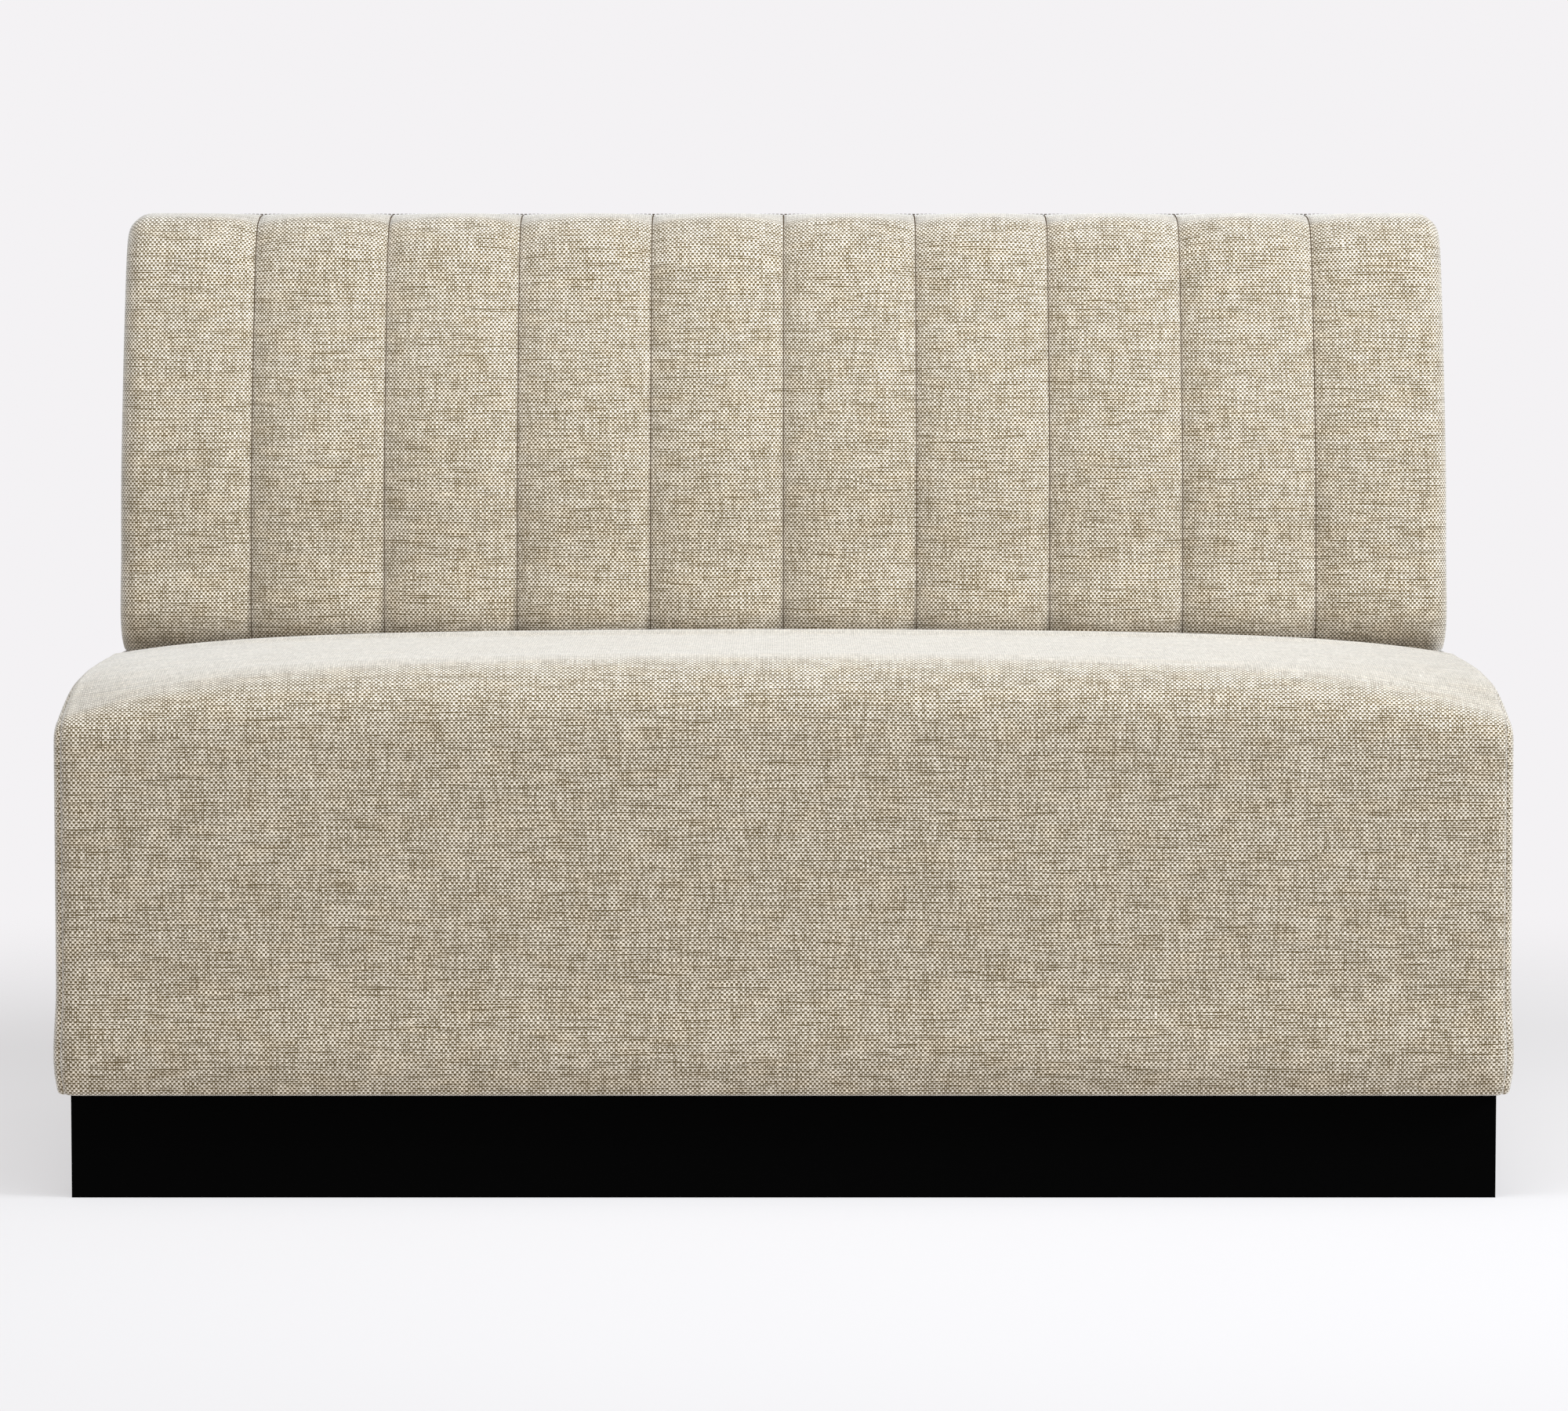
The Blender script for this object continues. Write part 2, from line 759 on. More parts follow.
@dataclass(frozen=True)
class WoodGrain:
    """Wood whose fibres run along X of the given vector.

    Attributes:
        flow: Winding of the growth rings.
        fibres: Fine lines along the grain.
        late_range: Part of a ring that is late wood.
        late_share: Darkness of the late wood.
        fibre_share: Darkness of the fibres.
    """

    flow: Cloud = Cloud((1.2, 9.0, 9.0), detail=4.0, distortion=0.4)
    fibres: Cloud = Cloud((14.0, 700.0, 700.0), detail=3.0)
    late_range: Range = (0.55, 1.0)
    late_share: float = 0.55
    fibre_share: float = 0.4

    def build(self) -> NodeTree:
        """Build the group.

        Returns:
            A group that turns a place in metres into a colour and a height.
        """
        group = Group("wood grain", {"Scale": 1.0, "Rings": 26.0},
                      {"Early wood": (0.6, 0.42, 0.25), "Late wood": (0.4, 0.25, 0.13)})
        tree, shade, given, result = group.open()
        scaled = {0: given.outputs["Vector"], "Scale": given.outputs["Scale"]}
        vector = shade.node("ShaderNodeVectorMath", scaled, operation="SCALE").outputs[0]
        winding = shade.times(shade.cloud(vector, self.flow), given.outputs["Rings"])
        late = shade.spread(shade.math("FRACT", winding), *self.late_range)
        fibres = shade.cloud(vector, self.fibres)
        share = shade.weigh((late, fibres), (self.late_share, self.fibre_share))
        colour = shade.blend(share, given.outputs["Early wood"], given.outputs["Late wood"])
        shade.feed(result, {"Color": colour, "Height": fibres})
        return tree


@dataclass(frozen=True)
class Speckle:
    """Random grain of two scales, for felt, foam, wadding, plating and plastic.

    Attributes:
        detail: How much finer noise each scale has.
        gain: Strength of the grain at full contrast.
    """

    detail: float = 3.0
    gain: float = 4.0

    def build(self) -> NodeTree:
        """Build the group.

        Returns:
            A group that turns a place in metres into a colour and a height.
        """
        group = Group("speckle", {"Coarse": 120.0, "Fine": 900.0, "Contrast": 0.5},
                      {"Pale": (0.8, 0.8, 0.8), "Deep": (0.4, 0.4, 0.4)})
        tree, shade, given, result = group.open()
        coarse, fine = (shade.noise(given.outputs["Vector"], given.outputs[name], self.detail)
                        for name in ("Coarse", "Fine"))
        both = shade.weigh((coarse, fine), (0.5, 0.5))
        centred = shade.times(shade.math("SUBTRACT", both, 0.5), given.outputs["Contrast"])
        share = shade.spread(shade.plus(0.5, shade.times(centred, self.gain)), 0.0, 1.0)
        colour = shade.blend(share, given.outputs["Deep"], given.outputs["Pale"])
        shade.feed(result, {"Color": colour, "Height": both})
        return tree


class Workshop:
    """Makes each finish once and hands it out."""

    def __init__(self) -> None:
        """Build the shared node groups."""
        self.weave = PlainWeave().build()
        self.grain = WoodGrain().build()
        self.speckle = Speckle().build()
        self.made: dict[str, Material] = {}

    def get(self, finish: "Finish") -> Material:
        """Return the material of a finish, made at its first use."""
        if finish.name not in self.made:
            self.made[finish.name] = finish.make(self)
        return self.made[finish.name]


@dataclass(frozen=True)
class Finish:
    """A finish with its own shader.

    Attributes:
        name: Name of the material.
        slot: Material slot that it stands for.
        roughness: Roughness of the surface.
        specular: Strength of its reflections at right angles.
        sheen: Strength of the glow of loose fibres.
        sheen_roughness: Spread of that glow.
    """

    name: str
    slot: Slot
    roughness: float = 0.6
    specular: float = 0.5
    sheen: float = 0.0
    sheen_roughness: float = 0.55

    def open(self) -> tuple[Material, Shader, Node]:
        """Make the material with its constant sockets set.

        Returns:
            The material, the writer of its nodes and its shader node.
        """
        material = bpy.data.materials.new(self.name)
        material.use_nodes = True
        shader = material.node_tree.nodes["Principled BSDF"]
        shade = Shader(material.node_tree)
        shade.feed(shader, {
            "Roughness": self.roughness, "Specular IOR Level": self.specular,
            "Sheen Weight": self.sheen, "Sheen Roughness": self.sheen_roughness})
        return material, shade, shader

    def make(self, shop: Workshop) -> Material:
        """Make the material.

        Args:
            shop: Holder of the shared node groups.

        Returns:
            The new material.
        """
        raise NotImplementedError


@dataclass(frozen=True)
class WovenFinish(Finish):
    """Woven cloth that follows the cut of its panel.

    Attributes:
        light: Colour of the pale yarn.
        dark: Colour of the dark yarn.
        pitch: Distance between yarns, across and along.
        relief: Height of the yarns.
        bump: Strength of their relief.
        uneven: How far yarns stray from even spacing.
        heather: Variation of colour along and between yarns.
        lines: Darkness of the lines between some rows.
        depth: Darkness of the hollows.
    """

    light: Triple = (1.0, 0.914, 0.785)
    dark: Triple = (0.075, 0.045, 0.002)
    pitch: tuple[float, float] = (2.1 * MM, 2.28 * MM)
    relief: float = 0.25 * MM
    bump: float = 0.3
    uneven: float = 1.2 * MM
    heather: float = 0.17
    lines: float = 0.55
    depth: float = 0.95

    def make(self, shop: Workshop) -> Material:
        """Make the cloth.

        Args:
            shop: Holder of the shared node groups.

        Returns:
            The new material.
        """
        material, shade, shader = self.open()
        weave = shade.node("ShaderNodeGroup", node_tree=shop.weave)
        shade.feed(weave, {
            "Vector": shade.node("ShaderNodeUVMap", uv_map=CLOTH_UV).outputs[0],
            "Pitch across": self.pitch[0], "Pitch along": self.pitch[1],
            "Unevenness": self.uneven, "Heather": self.heather, "Lines": self.lines,
            "Depth": self.depth, "Light yarn": rgba(self.light), "Dark yarn": rgba(self.dark)})
        shade.feed(shader, {
            "Base Color": weave.outputs["Color"], "Roughness": weave.outputs["Roughness"],
            "Normal": shade.bump(weave.outputs["Height"], self.relief, self.bump)})
        return material


@dataclass(frozen=True)
class SpeckledFinish(Finish):
    """A finish with a fine random grain.

    Attributes:
        pale: Lighter colour.
        deep: Darker colour.
        coarse: Frequency of the coarse grain.
        fine: Frequency of the fine grain.
        contrast: Strength of the grain.
        relief: Height of the grain.
        bump: Strength of its relief.
        metallic: How much of it is metal.
        grain_range: Heights of the grain from which the roughness varies.
        rough_spread: How far it varies either way.
    """

    pale: Triple = (0.6, 0.6, 0.6)
    deep: Triple = (0.3, 0.3, 0.3)
    coarse: float = 120.0
    fine: float = 900.0
    contrast: float = 0.5
    relief: float = 0.2 * MM
    bump: float = 0.7
    metallic: float = 0.0
    grain_range: tuple[float, float] = (0.3, 0.7)
    rough_spread: float = 0.08

    def make(self, shop: Workshop) -> Material:
        """Make the grained finish.

        Args:
            shop: Holder of the shared node groups.

        Returns:
            The new material.
        """
        material, shade, shader = self.open()
        grain = shade.node("ShaderNodeGroup", node_tree=shop.speckle)
        shade.feed(grain, {
            "Vector": shade.node("ShaderNodeTexCoord").outputs["Object"], "Coarse": self.coarse,
            "Fine": self.fine, "Contrast": self.contrast, "Pale": rgba(self.pale),
            "Deep": rgba(self.deep)})
        height = grain.outputs["Height"]
        shade.feed(shader, {
            "Metallic": self.metallic, "Base Color": grain.outputs["Color"],
            "Roughness": shade.spread(height, *self.grain_range, self.roughness - self.rough_spread,
                                      self.roughness + self.rough_spread),
            "Normal": shade.bump(height, self.relief, self.bump)})
        return material


@dataclass(frozen=True)
class WoodFinish(Finish):
    """Bare wood, with plies on its edges where it is plywood.

    Attributes:
        early: Colour of the pale wood.
        late: Colour of the dark lines.
        relief: Height of the fibres.
        bump: Strength of their relief.
        ply: Thickness of one ply, or 0 for solid wood.
        ply_tints: Darkest and brightest ply.
    """

    early: Triple = (0.62, 0.45, 0.28)
    late: Triple = (0.42, 0.27, 0.14)
    relief: float = 0.15 * MM
    bump: float = 0.6
    ply: float = 0.0
    ply_tints: tuple[float, float] = (0.82, 1.08)

    def make(self, shop: Workshop) -> Material:
        """Make the wood.

        Args:
            shop: Holder of the shared node groups.

        Returns:
            The new material.
        """
        material, shade, shader = self.open()
        place = shade.node("ShaderNodeTexCoord").outputs["Object"]
        grain = shade.node("ShaderNodeGroup", node_tree=shop.grain)
        shade.feed(grain, {"Vector": place, "Early wood": rgba(self.early),
                           "Late wood": rgba(self.late)})
        colour = grain.outputs["Color"]
        if self.ply:
            x, y, z = shade.split(place)
            total = shade.plus(shade.plus(x, y), z)
            layer = shade.math("FLOOR", shade.math("DIVIDE", total, self.ply))
            tint = shade.spread(shade.dice(layer), 0.0, 1.0, *self.ply_tints)
            colour = shade.blend(1.0, colour, shade.combine(tint, tint, tint), "MULTIPLY")
        shade.feed(shader, {
            "Base Color": colour,
            "Normal": shade.bump(grain.outputs["Height"], self.relief, self.bump)})
        return material


LINEN = WovenFinish("heathered linen", Slot.LINEN, specular=0.2, sheen=0.6)
DUST_CLOTH = SpeckledFinish("black non-woven cloth", Slot.DUST_CLOTH, roughness=0.9, specular=0.2,
                            pale=(0.035, 0.035, 0.036), deep=(0.012, 0.012, 0.013), coarse=60.0,
                            fine=700.0)
BLACK_PAINT = SpeckledFinish("black paint", Slot.BLACK_PAINT, roughness=0.7, specular=0.02,
                             pale=(0.0008, 0.0008, 0.0008), deep=(0.0003, 0.0003, 0.0003),
                             relief=0.05 * MM)
NYLON = SpeckledFinish("black nylon", Slot.NYLON, roughness=0.45, pale=(0.03, 0.03, 0.031),
                       deep=(0.02, 0.02, 0.021), relief=0.03 * MM)
ZINC = SpeckledFinish("zinc plating", Slot.ZINC, roughness=0.33, metallic=1.0,
                      pale=(0.72, 0.73, 0.75), deep=(0.5, 0.51, 0.53), coarse=300.0, fine=2500.0,
                      contrast=0.35, relief=0.02 * MM)
SPRING_WIRE = SpeckledFinish("oiled spring wire", Slot.SPRING, roughness=0.38, metallic=1.0,
                             pale=(0.34, 0.34, 0.36), deep=(0.16, 0.16, 0.17), relief=0.02 * MM)
FELT = SpeckledFinish("needled felt", Slot.FELT, roughness=0.95, sheen=0.3,
                      pale=(0.42, 0.43, 0.40), deep=(0.2, 0.21, 0.19), coarse=90.0, fine=650.0,
                      contrast=0.8, relief=0.6 * MM)
FOAM = SpeckledFinish("upholstery foam", Slot.FOAM, roughness=0.9, specular=0.2,
                      pale=(0.86, 0.79, 0.56), deep=(0.66, 0.57, 0.36), coarse=420.0, fine=1500.0,
                      contrast=0.6, relief=0.5 * MM)
WADDING = SpeckledFinish("polyester wadding", Slot.WADDING, roughness=0.95, sheen=0.5,
                         pale=(0.92, 0.92, 0.9), deep=(0.72, 0.72, 0.7), coarse=60.0, fine=500.0,
                         contrast=0.6, relief=1.2 * MM)
PLYWOOD = WoodFinish("birch plywood", Slot.PLYWOOD, roughness=0.62, early=(0.66, 0.5, 0.33),
                     late=(0.47, 0.32, 0.19), ply=1.5 * MM)
BEECH = WoodFinish("sawn beech", Slot.HARDWOOD, roughness=0.65, early=(0.6, 0.4, 0.24),
                   late=(0.42, 0.25, 0.14))
THREAD = SpeckledFinish("sewing thread", Slot.LINEN, roughness=0.8, specular=0.2,
                        pale=(0.10, 0.066, 0.036), deep=(0.05, 0.03, 0.016), coarse=700.0,
                        fine=3000.0, relief=0.1 * MM)


@dataclass
class Upholstery:
    """Sews covers and fills paddings.

    Attributes:
        shop: Holder of the finishes.
        fabric_t: Thickness of the fabric.
    """

    shop: Workshop
    fabric_t: float = 1.5 * MM

    def cover(self, sheet: Surface, name: str, node: str, flat: tuple[float, float],
              rests_on: list[str]) -> None:
        """Finish a sheet as a stretched cover.

        Args:
            sheet: The sheet.
            name: Name of the piece.
            node: CAD node that it replaces.
            flat: Width and length of the cloth that it was cut from.
            rests_on: Pieces and nodes under it.
        """
        piece = sheet.finish(name, self.shop.get(LINEN))
        give_thickness(piece, self.fabric_t)
        settle(piece, LINEN.slot, [node])

    def padding(self, sheet: Surface, name: str, node: str, finish: Finish, fill: float) -> None:
        """Finish a solid as padding.

        Args:
            sheet: The sheet, closed into a solid.
            name: Name of the piece.
            node: CAD node that it replaces.
            finish: Finish of the padding.
            fill: How tightly it is filled, up to 1.
        """
        piece = sheet.finish(name, self.shop.get(finish))
        settle(piece, finish.slot, [node])


class SeatRow(NamedTuple):
    """A row across the seat.

    It holds the depth, the height, the radius of the corner, the turn of the path and the depth of
    the hem.
    """

    e: float
    z: float
    radius: float
    turn: float
    hem: float


@dataclass
class SeatForm:
    """Shape of the seat, as a family of side-plane paths.

    Attributes:
        nosing_r: Radius of the rounded front edge.
        side_drop: How far the top drops from its crown to the sides.
        side_nose_drop: How far the nosing drops below the top at the sides.
        corner_r: Radius of the upright corners.
        edge_r: Radius at the lower edge.
        return_d: Depth of the hem that turns under.
        face_bulge: How far the front face stands out at its middle.
        drop_e: Where the seat starts to drop behind.
        drop_len: Length of that drop.
        soft_gap: Clearance between soft pieces.
        cover_t: Room that the frame leaves for fabric.
        side_swell: How far the padded sides stand out beyond the frame's box.
        hem_side_share: How far the hem turns under at the sides, as a share of its depth.
        crown_even_share: Share of the side drop that is spread evenly over the width.
        crown_edge_power: Closeness of the rest of it to the sides.
        face_shares: Heights of the rows on the front face.
        side_nose_shares: Outline of the nosing at the sides, as depth and drop.
        nose_corner_shares: Shrinking of the corner radius round the nosing.
        top_shares: Outline of the top at the sides, as depth, drop and corner radius.
        drop_shares: Outline of the drop behind, as depth and drop.
        steps: Rows between two controls.
    """

    nosing_r: float = 62 * MM
    side_drop: float = 21 * MM
    side_nose_drop: float = 66 * MM
    corner_r: float = 20 * MM
    edge_r: float = 6 * MM
    return_d: float = 11 * MM
    face_bulge: float = 1.5 * MM
    drop_e: float = 450 * MM
    drop_len: float = 19 * MM
    soft_gap: float = 0.3 * MM
    cover_t: float = 2 * MM
    side_swell: float = 3 * MM
    hem_side_share: float = 0.6
    crown_even_share: float = 0.43
    crown_edge_power: float = 6.5
    face_shares: Range = (0.3, 0.7, 0.92)
    side_nose_shares: tuple[tuple[float, float], ...] = (
        (0, 1), (0.003, 0.74), (0.01, 0.61), (0.028, 0.5), (0.066, 0.41), (0.12, 0.32))
    nose_corner_shares: Range = (1, 1, 1, 0.95, 0.88, 0.8)
    top_shares: tuple[Triple, ...] = (
        (0.24, 0.15, 0.62), (0.4, 0.056, 0.45), (0.6, 0.015, 0.35), (0.79, 0, 0.3))
    drop_shares: tuple[tuple[float, float], ...] = ((0, 0), (0.45, 0.25), (0.75, 0.72), (1, 1))
    steps: tuple[int, ...] = (1, 2, 2, 7, 8, 5, 2, 4, 4, 4, 4, 4, 6, 7, 7, 7, 5, 4, 4, 4, 3)

    def __post_init__(self) -> None:
        """Take the overall places from the frame."""
        low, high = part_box("seat_cover")
        self.half_w = cad_bounds[1][0] + self.side_swell
        self.front_y = low.y
        self.base_z = low.z
        self.crown_z = high.z
        self.depth = high.y - low.y
        self.under_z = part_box("seat_deck")[1].z + self.cover_t + self.soft_gap
        self.rear_e = cad_bounds[1][1] - low.y
        self.rear_y = self.front_y + self.rear_e

    def weight(self, share: float) -> float:
        """Return how far a station at a share of the half width has dropped, from 0 to 1."""
        even = self.crown_even_share * share ** 2
        return even + (1 - self.crown_even_share) * abs(share) ** self.crown_edge_power

    def controls(self, weight: float) -> list[SeatRow]:
        """List the control rows of a path.

        Args:
            weight: How far the path has dropped towards the sides, from 0 to 1.

        Returns:
            The rows, from the hem to the rear.
        """
        r, base_z = self.corner_r, self.base_z
        slant = self.edge_r * (1 - math.sqrt(0.5))
        hem = ((self.return_d, base_z), (self.edge_r, base_z), (slant, base_z + slant),
               (0.0, base_z + self.edge_r))
        rows = [SeatRow(depth, z, r, 0.0, depth) for depth, z in hem]
        nose = []
        for k, (back, down) in enumerate(self.side_nose_shares):
            angle = k * QUARTER / (len(self.side_nose_shares) - 1)
            middle_e = self.nosing_r * (1 - math.cos(angle))
            middle_z = self.crown_z - self.nosing_r * (1 - math.sin(angle))
            edge_z = self.crown_z - self.side_drop - down * self.side_nose_drop
            nose.append(SeatRow(mix(middle_e, back * self.depth, weight),
                                mix(middle_z, edge_z, weight),
                                r * self.nose_corner_shares[k], angle, 0.0))
        low_z = rows[-1].z
        for share in self.face_shares:
            swell = self.face_bulge * math.sin(math.pi * share) * (1 - weight)
            rows.append(SeatRow(-swell, mix(low_z, nose[0].z, share), r, 0.0, 0.0))
        rows += nose
        top_z = self.crown_z - self.side_drop * weight
        for back, down, corner in self.top_shares:
            rows.append(SeatRow(back * self.depth, top_z - down * self.side_nose_drop * weight,
                                r * corner, QUARTER, 0.0))
        last = rows[-1].radius
        for back, down in self.drop_shares:
            rows.append(SeatRow(self.drop_e + back * self.drop_len,
                                mix(top_z, self.under_z, down), last, QUARTER, 0.0))
        rows.append(SeatRow(self.depth, self.under_z, last, QUARTER, 0.0))
        return rows

    def path(self, weight: float) -> list[SeatRow]:
        """Return the fine rows of a path at a weight."""
        return [SeatRow(*row) for row in smooth_rows(self.controls(weight), self.steps)]

    def spot(self, share: float, row: SeatRow, normal: tuple[float, float] = UPWARD,
             inward: float = 0.0) -> Vector:
        """Return a place between the corners.

        Args:
            share: Share of the half width.
            row: Row of the path there.
            normal: Outward normal of that path.
            inward: Distance inside the outer face.

        Returns:
            The place.
        """
        return Vector((share * (self.half_w - row.radius),
                       self.front_y + row.e - normal[0] * inward, row.z - normal[1] * inward))

    def corner(self, row: SeatRow, normal: tuple[float, float], side: Side, degrees: float,
               inward: float) -> Vector:
        """Return a place on the rounded upright corner.

        Args:
            row: Row of the outermost path.
            normal: Outward normal of that path.
            side: Side of the bench.
            degrees: 90 where the corner meets the panel, 0 where it meets the side.
            inward: Distance inside the outer face.

        Returns:
            The place.
        """
        angle = math.radians(degrees)
        round_x = (row.radius - self.hem_side_share * row.hem - inward) * math.cos(angle)
        round_e = (row.radius - row.hem - inward) * (1 - math.sin(angle))
        return Vector((
            side.value * (self.half_w - row.radius + round_x),
            self.front_y + row.e - normal[0] * inward + math.cos(row.turn) * round_e,
            row.z - normal[1] * inward - math.sin(row.turn) * round_e,
        ))


@dataclass
class SeatUpholstery(Upholstery):
    """Covers and padding of the seat.

    Attributes:
        form: Shape of the seat.
        seam_deg: Where round the corner the panels are sewn together.
        seam_dip: How far the seam is drawn in.
        dip_reach_deg: How far round the corner that is felt.
        half_columns: Columns of the top panel on each half.
        crowding: How closely they stand towards the sides.
        corner_degs: Columns of the top panel round the corner.
        side_degs: Columns of the side panel round the corner.
        deck_e: Columns of the side panel behind the seat.
        deck_r: Radius of its edge there.
        deck_lip: Height of that edge above the foot of the back.
        hidden_rows: Last rows of the path, which the back covers.
        rear_grid: Columns and rows of the rear panel.
        cushion_half: Columns of the cushion on each half.
        cushion_skip: Rows of the path for one row of the cushion.
        cushion_degs: Columns of the cushion round the corner.
        level_turn: Turn of the path from which the cushion's top starts.
        turn_steps: Steps of the front wadding round a corner and up.
        side_grid: Columns of a side wadding to the deck and behind it, and its rows.
        wadding_fill: How tightly the waddings are filled.
    """

    form: SeatForm = field(default_factory=SeatForm)
    seam_deg: float = 46.0
    seam_dip: float = 2.0 * MM
    dip_reach_deg: float = 16.0
    half_columns: int = 34
    crowding: float = 1.6
    corner_degs: Range = (82.0, 72.0, 63.0, 56.0, 50.5)
    side_degs: Range = (12.0, 22.0, 31.0, 38.0, 43.0)
    deck_e: Range = (510 * MM, 535 * MM, 560 * MM, 585 * MM, 605 * MM, 617 * MM)
    deck_r: float = 6 * MM
    deck_lip: float = 3 * MM
    hidden_rows: int = 3
    rear_grid: tuple[int, int] = (24, 8)
    cushion_half: int = 14
    cushion_skip: int = 3
    cushion_degs: Range = (0.0, 30.0, 60.0)
    level_turn: float = 0.01
    turn_steps: int = 6
    side_grid: tuple[int, int, int] = (12, 4, 8)
    wadding_fill: float = 0.9

    def dip(self, degrees: float) -> float:
        """Return how far the cloth is drawn in at an angle round the corner."""
        reach = max(0.0, 1 - abs(degrees - self.seam_deg) / self.dip_reach_deg)
        return self.seam_dip * reach ** 2

    def front_and_top(self) -> None:
        """Make the panel over the front, the nosing and the top."""
        form = self.form
        count = self.half_columns
        shares = [1 - (1 - k / count) ** self.crowding for k in range(count + 1)]
        stations = [-share for share in reversed(shares)] + shares[1:]
        paths = [form.path(form.weight(share)) for share in stations]
        normals = path_normals(paths[0])
        degrees = (*self.corner_degs, self.seam_deg)
        rows = []
        for k, (row, normal) in enumerate(zip(paths[0], normals)):
            left, right = ([form.corner(row, normal, side, deg, self.dip(deg)) for deg in degrees]
                           for side in Side)
            middle = [form.spot(share, path[k]) for share, path in zip(stations, paths)]
            rows.append(left[::-1] + middle + right)
        lengths = [path_lengths(path) for path in paths]
        along = [lengths[0]] * len(degrees) + lengths + [lengths[-1]] * len(degrees)
        across = line_lengths(rows[len(rows) // 4])
        centre = len(across) // 2
        sheet = Surface()
        sheet.lay(rows, lambda row, column: (across[column] - across[centre], along[column][row]))
        self.cover(sheet, "seat_top_panel", "seat_cover", (across[-1], along[centre][-1]),
                   ["seat_cushion", "front_wadding", "seat_deck"])

    def side_panel(self, side: Side) -> None:
        """Make a side panel, sewn to the top panel round the corner.

        Args:
            side: Side of the bench.
        """
        form = self.form
        path = form.path(1.0)
        deck_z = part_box("channel_cover")[0].z + self.deck_lip
        chain = path[:-self.hidden_rows]
        normals = path_normals(path)[:len(chain)] + [UPWARD] * len(self.deck_e)
        chain += [SeatRow(e, deck_z, self.deck_r, QUARTER, 0.0) for e in self.deck_e]
        edge = [form.corner(row, normal, side, 0.0, 0.0) for row, normal in zip(chain, normals)]
        turn_row = next(k for k, row in enumerate(chain) if row.turn >= QUARTER / 2)
        left_line, top_line = edge[:turn_row + 1], edge[turn_row:]
        low_z, knee_z = left_line[0].z, left_line[-1].z
        first_y, last_y = top_line[0].y, top_line[-1].y
        points = []
        for start in left_line:
            v = (start.z - low_z) / (knee_z - low_z)
            end = Vector((start.x, form.rear_y, mix(low_z, top_line[-1].z, v)))
            line = []
            for top in top_line:
                u = (top.y - first_y) / (last_y - first_y)
                low = Vector((left_line[0].x, mix(left_line[0].y, form.rear_y, u), low_z))
                foot = Vector((left_line[0].x, form.rear_y, low_z))
                flat = mix(mix(left_line[0], foot, u), mix(left_line[-1], top_line[-1], u), v)
                spot = mix(start, end, u) + mix(low, top, v) - flat
                spot.x = start.x
                line.append(spot)
            points.append(line)
        sheet = Surface.laid(points, lambda point: point.yz)
        verts = sheet.bm.verts[:]
        columns = len(top_line)
        upper = (len(left_line) - 1) * columns
        picks = verts[:upper + 1:columns] + verts[upper + 1:upper + columns]
        degrees = (0.0, *self.side_degs, self.seam_deg)

        def place(k: int, step: int) -> Vector:
            """Return a place round the upright corner."""
            return form.corner(chain[k], normals[k], side, degrees[step], self.dip(degrees[step]))

        def cloth(k: int, step: int) -> tuple[float, float]:
            """Return a place on the flat cloth beyond the edge."""
            reach = chain[k].radius * math.radians(degrees[step])
            return (edge[k].y - math.cos(chain[k].turn) * reach,
                    edge[k].z + math.sin(chain[k].turn) * reach)

        sheet.chain(picks, len(degrees) - 1, place, cloth)
        sheet.face_towards(Vector((side.value, 0, 0)))
        height = form.crown_z - form.side_drop - low_z
        self.cover(sheet, "seat_%s_panel" % side.word, "seat_%s_cover" % side.word,
                   (form.rear_e + form.corner_r, height + form.return_d),
                   ["%s_wadding" % side.word])

    def rear_panel(self) -> None:
        """Make the rear panel between the side panels."""
        form = self.form
        columns, rows = self.rear_grid
        edge_x = form.half_w - self.fabric_t / 2
        high_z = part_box("channel_cover")[0].z - form.soft_gap
        points = [[Vector((x, form.rear_y, z)) for x in ramp(edge_x, -edge_x, columns)]
                  for z in ramp(form.base_z, high_z, rows)]
        sheet = Surface.laid(points, lambda point: (-point.x, point.z))
        self.cover(sheet, "seat_rear_panel", "seat_rear_cover",
                   (2 * form.half_w, high_z - form.base_z), ["seat_rear_board"])

    def cushion(self) -> None:
        """Make the foam cushion under the top panel."""
        form = self.form
        inward = form.cover_t + form.soft_gap
        base_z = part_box("seat_foam")[0].z
        shares = [k / self.cushion_half for k in range(-self.cushion_half, self.cushion_half + 1)]
        paths = [form.path(form.weight(share)) for share in shares]
        normals = [path_normals(path) for path in paths]
        first = next(k for k, row in enumerate(paths[0]) if row.turn > self.level_turn)
        rows = []
        for k in range(first, len(paths[0]), self.cushion_skip):
            left, right = ([form.corner(paths[0][k], normals[0][k], side, deg, inward)
                            for deg in self.cushion_degs] for side in Side)
            middle = [form.spot(share, path[k], normal[k], inward)
                      for share, path, normal in zip(shares, paths, normals)]
            rows.append(left + middle + right[::-1])
        sheet = Surface.laid(rows, lambda point: point.xy)
        border = [edge for edge in sheet.bm.edges if edge.is_boundary]
        made = bmesh.ops.extrude_edge_only(sheet.bm, edges=border)
        for item in made["geom"]:
            if isinstance(item, Vertex):
                item.co.z = base_z
        rim = [edge for edge in sheet.bm.edges if edge.is_boundary]
        bmesh.ops.holes_fill(sheet.bm, edges=rim, sides=0)
        bmesh.ops.recalc_face_normals(sheet.bm, faces=sheet.bm.faces[:])
        self.padding(sheet, "seat_cushion", "seat_foam", FOAM, 1.0)

